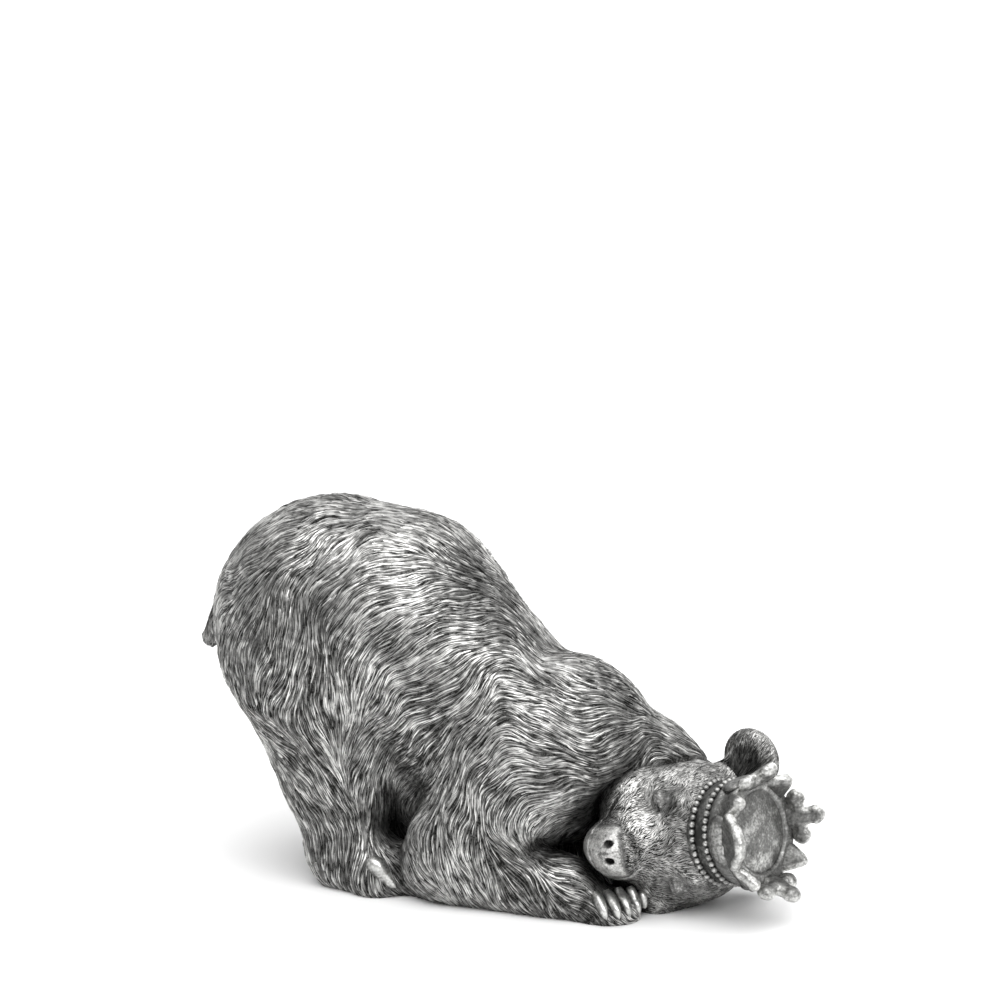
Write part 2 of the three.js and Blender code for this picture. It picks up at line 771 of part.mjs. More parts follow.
function clawSolid(root, tip, diameter) {
  const from = times(root, SIZE);
  const to = times(tip, SIZE);
  const length = Math.hypot(...sub(to, from));
  const radius = diameter / 2;
  const profile = [
    [0, -radius],
    [radius * 0.75, -radius * 0.6],
    [radius, length * 0.35],
    [radius * 0.75, length * 0.8],
    [0, length + radius * 0.2],
  ];
  const lathe = new THREE.LatheGeometry(
    profile.map(([r, y]) => new THREE.Vector2(r, y)),
    7,
  );
  const turn = new THREE.Quaternion().setFromUnitVectors(
    new THREE.Vector3(0, 1, 0),
    new THREE.Vector3(...unit(sub(to, from))),
  );
  lathe.applyQuaternion(turn);
  lathe.translate(...from);
  return solidFromGeometry(lathe);
}

function clawSolids() {
  const claws = [];
  for (let i = 0; i < FORE_CLAWS.count; i++) {
    const from = add(FORE_CLAWS.first, times(FORE_CLAWS.step, i));
    claws.push(clawSolid(from, add(from, FORE_CLAWS.drop), FORE_CLAW_DIAMETER));
  }
  const { from, to } = HIND_CLAW;
  claws.push(clawSolid(from, to, HIND_CLAW_DIAMETER));
  claws.push(clawSolid(mirrored(from), mirrored(to), HIND_CLAW_DIAMETER));
  return claws;
}

// Join everything, cut the underside flat, and set the figure on the ground
function figureGeometry() {
  const furred = [bodyPart, headPart].map((part) => {
    const { points, triangles } = simplify(carveFur(part, shape(part)), part.triangles);
    return solidFromArrays(points, triangles).scale(SIZE);
  });
  const below = new THREE.BoxGeometry(600, 400, 60);
  below.translate(0, 0, -30);
  const whole = Manifold.union([
    ...furred,
    crownSolid(),
    ...clawSolids(),
  ]).subtract(solidFromGeometry(below));
  const mesh = whole.getMesh();
  const geometry = new THREE.BufferGeometry();
  const vertices = [];
  for (let i = 0; i < mesh.vertProperties.length; i += mesh.numProp) {
    vertices.push(...mesh.vertProperties.slice(i, i + 3));
  }
  geometry.setAttribute("position", new THREE.Float32BufferAttribute(vertices, 3));
  geometry.setIndex([...mesh.triVerts]);
  geometry.computeBoundingBox();
  const { min, max } = geometry.boundingBox;
  geometry.translate(-(min.x + max.x) / 2, -(min.y + max.y) / 2, -min.z);
  return geometry;
}

const figure = new THREE.Mesh(
  figureGeometry(),
  new THREE.MeshStandardMaterial({ color: 0xb4b4b0, metalness: 0.9, roughness: 0.38 }),
);
figure.name = "polar_bear";

const group = new THREE.Group();
group.name = "polar_bear_figurine";
group.add(figure);

export default group;
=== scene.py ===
"""Looks of the polar bear figurine: fur ridges traced over the solid's own form, in antique silver.

Lengths are in millimetres in the figure's own pose coordinates until a piece is made, which sets
it in the row frame in metres.
"""

import math

import bpy
import numpy as np
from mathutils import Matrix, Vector


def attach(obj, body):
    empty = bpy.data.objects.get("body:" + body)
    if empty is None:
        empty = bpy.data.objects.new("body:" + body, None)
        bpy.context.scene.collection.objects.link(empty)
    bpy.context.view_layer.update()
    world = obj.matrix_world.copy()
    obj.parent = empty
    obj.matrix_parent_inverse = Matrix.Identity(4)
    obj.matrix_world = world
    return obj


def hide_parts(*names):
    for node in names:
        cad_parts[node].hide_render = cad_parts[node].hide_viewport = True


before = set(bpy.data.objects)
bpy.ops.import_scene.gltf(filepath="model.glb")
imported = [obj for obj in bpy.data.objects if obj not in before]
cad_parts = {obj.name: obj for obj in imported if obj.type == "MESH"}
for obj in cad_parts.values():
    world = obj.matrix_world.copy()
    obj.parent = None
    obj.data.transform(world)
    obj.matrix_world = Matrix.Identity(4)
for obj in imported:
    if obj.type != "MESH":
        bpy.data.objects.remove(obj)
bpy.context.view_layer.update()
rng = np.random.default_rng(7)

METRE = 0.001  # one millimetre in metres
POSE_TO_ROW = np.array([21.389, -0.471, 0.0])

# Grids that the forms are meshed on: low corner, high corner and size of a cell
BODY_GRID = ((-190, -82, -4), (92, 82, 184), 2.0)
HEAD_GRID = ((14, -62, -4), (126, 62, 94), 0.84)
LOCK_CELL = 10.5
LOCK_GRID = ((-190, -82, -6), (92, 82, 186), LOCK_CELL)

# Locks of fur on the body
LOCK_LENGTH, LOCK_WIDTH, LOCK_RELIEF = 32.0, 11.0, 1.6
LOCK_SHIFT = 0.35  # the most that a lock moves off its place in the grid, in cells
LOCK_REACH = 9  # how far above and below its middle a lock has an effect
SKIN_SINK = 0.3  # how far the skin between the locks lies below the plain form
PAW_LOCKS = 0.7  # share of their relief that the locks lose on the paws

# Strands of fur on the body and the head
STRAND_LENGTH, STRAND_WIDTH, STRAND_HEIGHT = 11.5, 1.22, 0.8
STRAND_SECTIONS, STRAND_BEND, STRAND_SINK, STRAND_LEAN = 6, 0.05, 0.35, 0.35
HEAD_STRAND_LENGTH, HEAD_STRAND_WIDTH, HEAD_STRAND_HEIGHT = 4.2, 0.95, 0.36
HEAD_STRAND_SECTIONS, HEAD_STRAND_BEND, HEAD_STRAND_SINK, HEAD_STRAND_LEAN = 4, 0.12, 0.2, 0.3
HEAD_STRAND_LIFT = -0.05
TIP_LIFT = 0.05
SEED_SHARE = 0.9  # share of the skin's points that a strand starts from
BODY_SEED_SHIFT, HEAD_SEED_SHIFT = 1.1, 0.4  # the most that a strand's start moves off its point
SEED_FLOOR, SEED_COVER = 0.4, -0.5  # no strand starts lower, or deeper under the other form
BODY_TONE, BODY_SPECKLE, BODY_CONTRAST, CONTRAST_SPREAD = 0.27, 0.17, 0.46, 0.08
HEAD_TONE, HEAD_SPECKLE, HEAD_CONTRAST = 0.27, 0.11, 0.38

FACE_TURN = 0.1  # how far the muzzle turns up from the middle plane, per millimetre forward


def unit(v):
    v = np.asarray(v, float)
    return v / np.maximum(np.linalg.norm(v, axis=-1, keepdims=True), 1e-9)


def dot(a, b):
    return np.einsum("ij,ij->i", a, b)


# Soft steps from 0 to 1 and back, and a hump with a height of 1
def rise(x, start, length):
    return np.clip((x - start) / length, 0, 1)


def fall(x, end, length):
    return np.clip((end - x) / length, 0, 1)


def hump(x, width):
    return np.exp(-((x / width) ** 2))


# Rounded forms as distance fields
def bone(p, start, end, start_radius, end_radius):
    start = np.asarray(start, float)
    along = np.asarray(end, float) - start
    t = np.clip((p - start) @ along / (along @ along), 0, 1)
    q = p - start - t[:, None] * along
    return np.sqrt(dot(q, q)) - (start_radius + t * (end_radius - start_radius))


def egg(p, centre, semi):
    q = (p - np.asarray(centre, float)) / np.asarray(semi, float)
    a = np.linalg.norm(q, axis=1)
    b = np.linalg.norm(q / np.asarray(semi, float), axis=1)
    return a * (a - 1) / np.maximum(b, 1e-9)


def join(a, b, blend):
    h = np.maximum(blend - np.abs(a - b), 0) / blend
    return np.minimum(a, b) - h * h * blend / 4


def carve(a, b, blend):
    return -join(-a, b, blend)


def mirror(v):
    return (v[0], -v[1], v[2])


TRUNK = [  # both ends and the radius at each, as for every bone
    ((-105, 0, 116), (-74, 0, 115), 61, 56),
    ((-74, 0, 115), (-8, 0, 68), 56, 44),
    ((-8, 0, 68), (18, 3, 74), 44, 36),
    ((18, 3, 74), (46, 22, 57), 35, 23.4),
    ((46, 22, 57), (66, 19, 43), 23.4, 20.5),
    ((46, 22, 57), (75, 21, 50.5), 22, 15.2),
    ((-60, 0, 62), (-30, 0, 26), 34, 24),
    ((-60, 0, 62), (-62, 2, 27), 34, 24),
]
TAIL = ((-161, -6, 125), (-176, -9, 101.5), 9, 3.0)
RIGHT_LEGS = [
    ((-106, -22, 104), (-86, -30, 56), 41, 29),
    ((-86, -30, 56), (-81, -36, 20), 28, 18),
    ((-77, -38, 13), (-60, -43, 8), 17, 13),
    ((-60, -36, 7), (-36, -30, 8), 12, 12),
    ((6, -15, 64), (-22, -33, 26), 35, 22),
    ((-24, -34, 17), (36, -29, 11), 19, 14),
    ((8, -16, 52), (22, -6, 46), 31, 17),
]
LEGS = [side for leg in RIGHT_LEGS for side in (leg, (mirror(leg[0]), mirror(leg[1]), *leg[2:]))]
PAWS = [((49.5, -22, 3), (18, 17.5, 11)), ((40, 28, 4), (17, 16, 10))]  # centre and half sizes
TRUNK_BLEND, LEG_BLEND, PAW_BLEND = 8, 10, 5

FORE = [  # root and tip of each claw of the near forepaw
    ((49, -32, 12), (54, -33.6, 1.5)),
    ((53.2, -28.2, 12.5), (58, -29.6, 1.6)),
    ((57.3, -24.6, 13.2), (62, -26, 2.2)),
    ((61.2, -20.8, 13.2), (65.8, -22, 3.2)),
    ((64.6, -16.4, 10.8), (67.2, -17.4, 4.2)),
]
FAR_MIDDLE = 27
FAR_FORE = [  # the same for the far forepaw, where the outer claws stand back
    ((51 - 0.04 * off**2, FAR_MIDDLE + off, 9.5), (57.5 - 0.05 * off**2, FAR_MIDDLE + off, 1.6))
    for off in (-8, -2, 4, 10)
]
HIND = ((-61, -43, 11.0), (-47, -46, 2.5))  # the claw of the near hind paw

BUTTOCK = (-157, 27, 94)  # flatter place below and beside the tail
BUTTOCK_DEPTH, BUTTOCK_REACH = 2.8, 17.0

HEAD_CENTRE = np.array([72.8, 11.4, 33.0])
HEAD_UP = unit([0.953, -0.223, 0.204])
HEAD_RIGHT = unit(np.cross(unit([-0.2175, -0.976, -0.055]), HEAD_UP))
HEAD_FORWARD = np.cross(HEAD_UP, HEAD_RIGHT)
HEAD_AXES = np.array([HEAD_FORWARD, HEAD_UP, HEAD_RIGHT])


def to_head(p):
    return (p - HEAD_CENTRE) @ HEAD_AXES.T


def from_head(q):
    return np.asarray(q, float) @ HEAD_AXES + HEAD_CENTRE


def face_coordinates(q):
    """Head coordinates with the muzzle turned back onto the middle plane."""
    turned = q.copy()
    turned[:, 2] -= FACE_TURN * np.clip(q[:, 0] - 5, 0, 45)
    return turned


def pad_edge(face):
    """How far up the bare muzzle pad reaches."""
    return 5.2 - 0.03 * face[:, 2] ** 2


# Forms of the head, in head coordinates: forward, up and right
SKULL = ((-4, 1, 0), (30, 31, 34))
CHEEK = ((13, -13, 21), (21, 19, 17))
SNOUT = ((8, -4, 0), (38, -8, 0), 29, 14.5)
JAW = ((14, -14, 0), (38, -14, 0), 14, 10)
NOSE = ((46, -1, 0), (8, 7, 9))
BROW = ((17, 16, 15), (8, 6, 8))
EAR, EAR_ROOT = ((-27, 27, 27), (7, 14.6, 14.4)), ((-14, 16, 18), (-27, 27, 26), 11, 7)
EAR_HOLLOW = ((-18.0, 28, 28), (5, 12.4, 12.4))
LOWER_EAR = ((-28, 17, -22), (6, 11, 12))
# Carving of the face, which the strands then follow
NOSE_RIDGE = ((45.6, 2.6, -5.5), (45.6, 2.6, 5.5), 3.0, 3.0)
NOSE_SHIFT = 1.4  # from the middle plane to the line between the nostrils
NOSTRIL = ((52.0, -0.8, 3.7), (4.8, 2.4, 1.6))
SOCKET, LID = ((28, 14.4, 21.5), (5.0, 4.0, 6.2)), ((22.6, 10.2, 20), (4.4, 3.2, 5.0))
LID_MIDDLE = np.array([25.0, 10.5, 20.0])
# The same on the plain head, as in the solid
PLAIN_NOSTRIL = ((53, -2, 4), (3.5, 2, 1.4))
PLAIN_SOCKET, PLAIN_LID = ((25, 12, 21), (5, 5, 6)), ((23.5, 10.5, 20), (3.2, 2.6, 4.2))


def head_form(q, fine=False):
    """The head in head coordinates. Fine adds the carving of the face."""
    face = face_coordinates(q)
    side = face.copy()
    side[:, 2] = np.abs(face[:, 2])
    head_side = q.copy()
    head_side[:, 2] = np.abs(q[:, 2])
    d = egg(q, *SKULL)
    d = join(d, egg(head_side, *CHEEK), 8)
    d = join(d, bone(face, *SNOUT), 9)
    d = join(d, bone(face, *JAW), 4)
    d = join(d, egg(face, *NOSE), 5 if fine else 2)
    d = join(d, egg(side, *BROW), 5)
    if fine:
        d = join(d, bone(face, *NOSE_RIDGE), 2)
        front = face[:, 0] > 40
        pad_groove = hump(face[:, 1] - pad_edge(face), 0.8) * fall(side[:, 2], 11, 3)
        d = d + 0.6 * pad_groove * front
        holes = face - (0, 0, NOSE_SHIFT)
        between = hump(holes[:, 2], 0.42) * front
        holes[:, 2] = np.abs(holes[:, 2])
        d = carve(d, egg(holes, *NOSTRIL), 1.0)
        d = d + 0.9 * between * (np.abs(face[:, 1] + 1.5) < 6.5)
        mouth = hump(face[:, 1] + 13.2 - 0.012 * face[:, 2] ** 2, 0.6) * rise(face[:, 0], 26, 8)
        d = d + 1.1 * mouth
        d = carve(d, egg(side, *SOCKET), 4)
        d = join(d, egg(side, *LID), 2.5)
        slit = hump(side[:, 1] - 9.6 - 0.25 * (side[:, 0] - 24), 0.4)
        d = d + 0.7 * slit * fall(np.linalg.norm(side - LID_MIDDLE, axis=1), 7, 3)
    else:
        d = carve(d, egg(side, *PLAIN_NOSTRIL), 1.5)
        d = carve(d, egg(side, *PLAIN_SOCKET), 3)
        d = join(d, egg(side, *PLAIN_LID), 1)
    ear = join(egg(q, *EAR), bone(q, *EAR_ROOT), 3)
    d = join(d, carve(ear, egg(q, *EAR_HOLLOW), 1.2), 3)
    return join(d, egg(q, *LOWER_EAR), 3)


def body_form(p):
    d = bone(p, *TRUNK[0])
    for part in (*TRUNK[1:], TAIL):
        d = join(d, bone(p, *part), TRUNK_BLEND)
    for leg in LEGS:
        d = join(d, bone(p, *leg), LEG_BLEND)
    for paw in PAWS:
        d = join(d, egg(p, *paw), PAW_BLEND)
    side = np.abs(p[:, 1]) - BUTTOCK[1]
    apart = (p[:, 0] - BUTTOCK[0]) ** 2 + side**2 + (p[:, 2] - BUTTOCK[2]) ** 2
    return d + BUTTOCK_DEPTH * np.exp(-apart / (2 * BUTTOCK_REACH**2))


def seam(p, d, h):
    """Crease where the head lies on the neck and the paw. It fades where the neck fur runs on."""
    return (3 - 2.4 * rise(p[:, 2], 52, 14)) * hump(d - h, 4)


def body_field(p):
    d, h = body_form(p), head_form(to_head(p))
    return d + seam(p, d, h)


def head_field(p):
    d, h = body_form(p), head_form(to_head(p), True)
    return h + seam(p, d, h)


def whole_field(p):
    return np.minimum(body_field(p), head_field(p))


def evaluate(field, points, chunk=150000):
    return np.concatenate([field(points[i : i + chunk]) for i in range(0, len(points), chunk)])


TETRAHEDRON = np.array([[1, -1, -1], [-1, -1, 1], [-1, 1, -1], [1, 1, 1]], float)


def normals(field, p, step=0.35):
    return unit(sum(k * evaluate(field, p + step * k)[:, None] for k in TETRAHEDRON))


def settle(field, p, rounds, reach):
    """Moves points onto the field's surface and returns them with the normals there."""
    for _ in range(rounds):
        n = normals(field, p)
        p = p - np.clip(evaluate(field, p), -reach, reach)[:, None] * n
    return p, n


# Meshing of a field on a grid: one point in each crossed cell, one face over each crossed edge
def surface_net(field, low, high, cell):
    axes = [np.arange(a, b + cell, cell) for a, b in zip(low, high)]
    grid = np.stack(np.meshgrid(*axes, indexing="ij"), -1)
    shape = grid.shape[:3]
    v = evaluate(field, grid.reshape(-1, 3)).reshape(shape)
    cells = tuple(s - 1 for s in shape)
    total, weight = np.zeros((*cells, 3)), np.zeros(cells)

    def corner(offset):
        return tuple(slice(o, o + c) for o, c in zip(offset, cells))

    for axis in range(3):
        others = [a for a in range(3) if a != axis]
        for i in range(2):
            for j in range(2):
                a = [0, 0, 0]
                a[others[0]], a[others[1]] = i, j
                b = list(a)
                b[axis] = 1
                va, vb = v[corner(a)], v[corner(b)]
                crossed = (va < 0) != (vb < 0)
                t = np.where(crossed, va / np.where(crossed, va - vb, 1), 0)
                total[..., axis] += np.where(crossed, t, 0)
                for k, o in zip(others, (i, j)):
                    total[..., k] += np.where(crossed, o, 0)
                weight += crossed
    active = weight > 0
    number = np.full(cells, -1)
    number[active] = np.arange(active.sum())
    index = np.argwhere(active)
    points = np.asarray(low) + cell * (index + total[active] / weight[active][:, None])
    faces = []
    for axis in range(3):
        b, c = (axis + 1) % 3, (axis + 2) % 3
        first = [slice(None)] * 3
        second = [slice(None)] * 3
        first[axis], second[axis] = slice(0, -1), slice(1, None)
        inside = v[tuple(first)] < 0
        crossed = inside != (v[tuple(second)] < 0)
        at = np.argwhere(crossed)
        keep = (at[:, b] > 0) & (at[:, c] > 0) & (at[:, b] < cells[b]) & (at[:, c] < cells[c])
        at = at[keep]
        flip = ~inside[tuple(at.T)]
        ring = []
        for db, dc in ((-1, -1), (0, -1), (0, 0), (-1, 0)):
            q = at.copy()
            q[:, b] += db
            q[:, c] += dc
            ring.append(number[tuple(q.T)])
        quads = np.stack(ring, 1)
        quads[flip] = quads[flip][:, ::-1]
        faces.append(quads)
    return points, np.concatenate(faces)


# Direction of the fur: the way it lies on each form and how much it turns down on steep skin,
# then strokes read on the visible side, each a place and a way
FLOWS = [
    (TRUNK[0], (-0.95, 0, -0.3), 1.1),
    (TRUNK[1], (-0.9, 0, 0.45), 1.2),
    (TRUNK[2], (-0.9, 0, 0.2), 0.9),
    (TRUNK[3], (-1, 0, 0.2), 0.5),
    (TRUNK[4], (-0.9, 0, 0.5), 0.2),
    (TRUNK[5], (-0.9, 0, 0.4), 0.1),
    (TAIL, (-0.45, -0.1, -0.9), 0.6),
    *[(leg, tuple(unit(np.subtract(leg[1], leg[0]))), 0.3) for leg in LEGS],
]
FLOW_REACH = 7.0
FLOW_WEIGHT = 0.12  # of the way that the fur lies on the forms, against the strokes
STROKE_REACH = 13.0
SLOW_TURN, QUICK_TURN, LOCK_TURN = 0.26, 0.25, 0.12
STROKES = np.array([
    (-109, -26, 169, -0.78, -0.54, -0.33),
    (-90, -11, 174, -0.91, -0.42, -0.04),
    (-56, -6, 168, -0.95, -0.23, 0.21),
    (-117, -39, 159, -0.68, -0.37, -0.64),
    (-128, -50, 139, -0.52, -0.10, -0.85),
    (-137, -53, 114, -0.39, 0.28, -0.88),
    (-78, -50, 144, -0.60, -0.39, -0.70),
    (-75, -41, 156, -0.53, -0.68, -0.50),
    (-43, -47, 133, -0.54, -0.68, -0.50),
    (-36, -31, 144, -0.59, -0.77, -0.25),
    (-19, -24, 131, -0.47, -0.88, -0.02),
    (-29, -44, 115, -0.59, -0.62, -0.52),
    (-107, -61, 119, -0.03, -0.16, -0.99),
    (-101, -63, 101, -0.42, 0.05, -0.91),
    (-76, -58, 103, 0.10, -0.04, -0.99),
    (-106, -56, 70, -0.75, 0.48, 0.45),
    (-87, -61, 59, 0.30, 0.24, -0.92),
    (-67, -52, 67, 0.11, -0.28, -0.95),
    (-43, -48, 81, -0.61, 0.13, -0.78),
    (-73, -53, 27, 0.24, -0.09, -0.97),
    (-32, -32, 140, -0.53, -0.79, -0.31),
    (-19, -43, 103, -0.10, -0.65, -0.75),
    (-13, -35, 112, -0.32, -0.60, -0.74),
    (-7, -20, 120, -0.54, -0.84, -0.04),
    (2, -12, 116, -0.67, -0.63, 0.39),
    (8, -22, 107, -0.84, -0.14, 0.52),
    (21, -23, 100, -0.69, 0.38, 0.62),
    (32, -23, 96, -0.93, -0.21, 0.28),
    (17, -24, 101, -0.59, 0.50, 0.64),
    (44, -1, 99, -0.54, -0.43, 0.72),
    (-20, -47, 79, -0.70, 0.03, -0.71),
    (30, -35, 82, -0.90, 0.04, 0.44),
    (-1, -43, 87, -0.74, -0.44, -0.50),
    (36, -12, 102, -0.62, -0.79, 0.02),
    (-36, -46, 69, -0.65, 0.44, -0.62),
    (-42, -36, 55, -0.46, 0.48, -0.75),
    (-18, -49, 58, -0.46, -0.15, -0.87),
    (5, -48, 72, -0.96, -0.01, -0.28),
    (26, -45, 67, -0.78, -0.53, -0.33),
    (35, -34, 62, -0.56, -0.77, 0.28),
    (12, -48, 59, -0.66, -0.37, -0.66),
    (21, -46, 53, -0.39, -0.10, -0.92),
    (27, -39, 47, -0.61, -0.67, -0.42),
    (35, -23, 44, -0.67, -0.65, -0.36),
    (-21, -51, 43, 0.04, -0.15, -0.99),
    (-8, -52, 38, -0.24, -0.09, -0.97),
    (1, -49, 39, -0.52, 0.08, -0.85),
    (-27, -55, 25, -0.79, -0.01, 0.61),
    (-15, -55, 20, 0.30, 0.13, -0.95),
    (-18, -50, 8, -0.51, -0.42, 0.75),
    (-3, -49, 27, 0.38, 0.27, -0.88),
    (-3, -49, 16, -0.65, -0.26, 0.71),
    (10, -44, 28, 0.15, 0.61, -0.78),
    (19, -38, 30, 0.07, 0.72, -0.69),
    (25, -43, 19, -0.58, -0.12, 0.80),
    (34, -36, 22, -0.82, 0.54, 0.22),
    (46, -37, 17, -0.61, -0.20, 0.76),
    (19, -46, 10, -0.56, -0.54, 0.63),
    (40, -42, 8, -0.67, -0.43, 0.61),
    (49, -8, 88, -0.39, -0.88, 0.27),
    (61, 10, 75, -0.59, -0.74, 0.32),
    (45, -20, 81, -0.56, -0.83, 0.05),
    (-53, -3, 169, -0.90, 0.09, 0.43),
    (-42, -1, 163, -0.81, -0.08, 0.58),
    (-36, 3, 157, -0.74, -0.11, 0.67),
    (-27, 3, 150, -0.66, -0.26, 0.70),
    (-19, 3, 141, -0.68, -0.08, 0.73),
    (-13, 3, 134, -0.67, -0.00, 0.74),
    (-5, 3, 125, -0.65, -0.15, 0.75),
    (2, 5, 117, -0.74, -0.11, 0.66),
    (-42, -14, 161, -0.69, -0.33, 0.65),
    (-36, -18, 153, -0.76, -0.41, 0.51),
    (-18, -9, 136, -0.64, -0.56, 0.53),
    (-9, 0, 128, -0.61, -0.64, 0.46),
    (4, -6, 117, -0.80, -0.37, 0.47),
    (-38, -44, 130, -0.43, -0.66, -0.62),
])
FAR_SIDE = STROKES[(STROKES[:, 0] < 30) & (STROKES[:, 1] < -28)] * np.array([1, -1, 1, 1, -1, 1])
STROKES = np.concatenate([STROKES, FAR_SIDE])


def waves(seed, length, count=6):
    """A smooth unevenness of about that wavelength, between about -1 and 1."""
    source = np.random.default_rng(seed)
    ways = unit(source.normal(size=(count, 3))) * (2 * math.pi / length)
    ways *= source.uniform(0.7, 1.4, (count, 1))
    phases = source.uniform(0, 2 * math.pi, count)
    return lambda p: np.sin(p @ ways.T + phases).sum(1) / math.sqrt(count)


slow_turn = waves(11, 62)
quick_turn = waves(12, 26)
lock_turn = waves(13, 12)


def body_flow(p, n):
    fields = np.stack([bone(p, *part) for part, _, _ in FLOWS], 1)
    weights = np.exp(-(fields - fields.min(1, keepdims=True)) / FLOW_REACH)
    ways = np.array([way for _, way, _ in FLOWS], float)
    drops = np.array([drop for _, _, drop in FLOWS])
    level = 1 - np.clip(n[:, 2], 0, 1) ** 2
    way = weights @ ways
    way[:, 2] -= (weights @ drops) * level
    way = unit(way - dot(way, n)[:, None] * n)
    across = np.cross(n, way)
    places, strokes = STROKES[:, :3], STROKES[:, 3:]
    apart = (p**2).sum(1)[:, None] + (places**2).sum(1) - 2 * p @ places.T
    near = np.exp(-np.maximum(apart, 0) / (2 * STROKE_REACH**2))
    c, s = way @ strokes.T, across @ strokes.T
    double_cos = (near * (c * c - s * s)).sum(1) + FLOW_WEIGHT
    double_sin = (near * 2 * c * s).sum(1)
    turn = 0.5 * np.arctan2(double_sin, double_cos)
    turn += SLOW_TURN * slow_turn(p) + QUICK_TURN * quick_turn(p) + LOCK_TURN * lock_turn(p)
    return np.cos(turn)[:, None] * way + np.sin(turn)[:, None] * across


EAR_FAN = np.array([-20.0, 16.0, 13.0])  # where the fur of the ear spreads from


def head_flow(p, n):
    q = to_head(p)
    way = -HEAD_FORWARD + 0.5 * HEAD_UP + (0.6 * q[:, 2:3] / 30) * HEAD_RIGHT
    on_ear = rise(np.minimum(q[:, 1] - 15, -14 - q[:, 0]), 1, 4)[:, None]
    fan = unit((q - EAR_FAN) * np.array([0.2, 1, 1])) @ HEAD_AXES
    way = unit(way) * (1 - on_ear) + fan * on_ear
    way = unit(way - dot(way, n)[:, None] * n)
    across = np.cross(n, way)
    turn = (1 - on_ear[:, 0]) * (0.3 * quick_turn(p * 1.6) + 0.28 * lock_turn(p * 1.5))
    return np.cos(turn)[:, None] * way + np.sin(turn)[:, None] * across


# Locks of fur: broad leaf shapes that lift the skin and the strands on it
lock_places, _ = surface_net(body_field, *LOCK_GRID)
lock_places += rng.uniform(-LOCK_SHIFT, LOCK_SHIFT, lock_places.shape) * LOCK_CELL
lock_places, lock_normals = settle(body_field, lock_places, 3, 6)
lock_ways = body_flow(lock_places, lock_normals)
lock_across = np.cross(lock_normals, lock_ways)
lock_size = rng.uniform(0.75, 1.2, len(lock_places))
lock_lift = rng.uniform(0.45, 1.0, len(lock_places))


def lock_relief(p, chunk=12000):
    """Height of the locks at points on the skin, from 0 between locks to 1 on a high one."""
    parts = []
    for i in range(0, len(p), chunk):
        q = p[i : i + chunk].astype(np.float32)

        def along(axes):
            return q @ axes.T.astype(np.float32) - dot(lock_places, axes).astype(np.float32)

        forward = along(lock_ways) / (0.5 * LOCK_LENGTH * lock_size).astype(np.float32)
        sideways = along(lock_across) / (0.5 * LOCK_WIDTH * lock_size).astype(np.float32)
        sideways += 0.28 * np.sin(2.2 * forward)
        inward = np.abs(along(lock_normals)) < LOCK_REACH
        taper = np.clip(1 - forward * forward, 0, 1)
        crest = taper - sideways * sideways
        height = np.sqrt(np.clip(crest, 0, 1)) * lock_lift.astype(np.float32) * inward
        parts.append(height.max(1))
    return np.concatenate(parts).astype(float)


def lock_depth(p):
    """Relief of the locks at points on the skin. It is lower on the forepaws."""
    paw = rise(p[:, 0], 30, 8) * fall(p[:, 2], 16, 4)
    return LOCK_RELIEF * (1 - PAW_LOCKS * paw)


def openness(p, n):
    """1 on open skin, towards 0 in the creases. Tones are multiplied by it, which paints shade,
    along with patina, into creases, hollows and undersides.
    """
    shut = np.zeros(len(p))
    for reach, share in ((2.5, 0.3), (7, 0.4), (16, 0.3)):
        shut += share * np.clip(1 - evaluate(whole_field, p + reach * n) / reach, 0, 1)
    return np.clip(1 - 1.25 * shut, 0, 1)


patches = waves(21, 75)
small_patches = waves(22, 22)


# Making of a piece from arrays, in the row frame in metres
def make_piece(name, points, faces, material, tone, smooth_angle=None, grain=None):
    """faces has one row of three or four points a face. tone has one number a point."""
    corners = faces.ravel().astype(np.int32)
    starts = (np.arange(len(faces)) * faces.shape[1]).astype(np.int32)
    placed = (points + POSE_TO_ROW) * METRE
    placed[:, 2] = np.maximum(placed[:, 2], 0)
    mesh = bpy.data.meshes.new(name)
    mesh.vertices.add(len(placed))
    mesh.vertices.foreach_set("co", placed.astype(np.float32).ravel())
    mesh.loops.add(len(corners))
    mesh.loops.foreach_set("vertex_index", corners)
    mesh.polygons.add(len(starts))
    mesh.polygons.foreach_set("loop_start", starts)
    mesh.polygons.foreach_set("use_smooth", np.ones(len(starts), bool))
    mesh.update(calc_edges=True)
    attribute = mesh.attributes.new("tone", "FLOAT", "POINT")
    attribute.data.foreach_set("value", np.asarray(tone, np.float32))
    if grain is not None:
        attribute = mesh.attributes.new("grain", "FLOAT_VECTOR", "POINT")
        attribute.data.foreach_set("vector", grain.astype(np.float32).ravel())
    if smooth_angle:
        mesh.set_sharp_from_angle(angle=math.radians(smooth_angle))
    mesh.validate()
    mesh.materials.append(material)
    piece = bpy.data.objects.new(name, mesh)
    bpy.context.scene.collection.objects.link(piece)
    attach(piece, "root")
    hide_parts("polar_bear")
    return piece


NOISE_CONTRAST = 0.85
MOTTLE_SCALE, MOTTLE_DETAIL, FINE_DETAIL = 260, 6, 4
METALLIC = 0.88
DARK_ROUGHER = 0.22  # how much rougher the dark places are
RELIEF_DEPTH = 0.0003


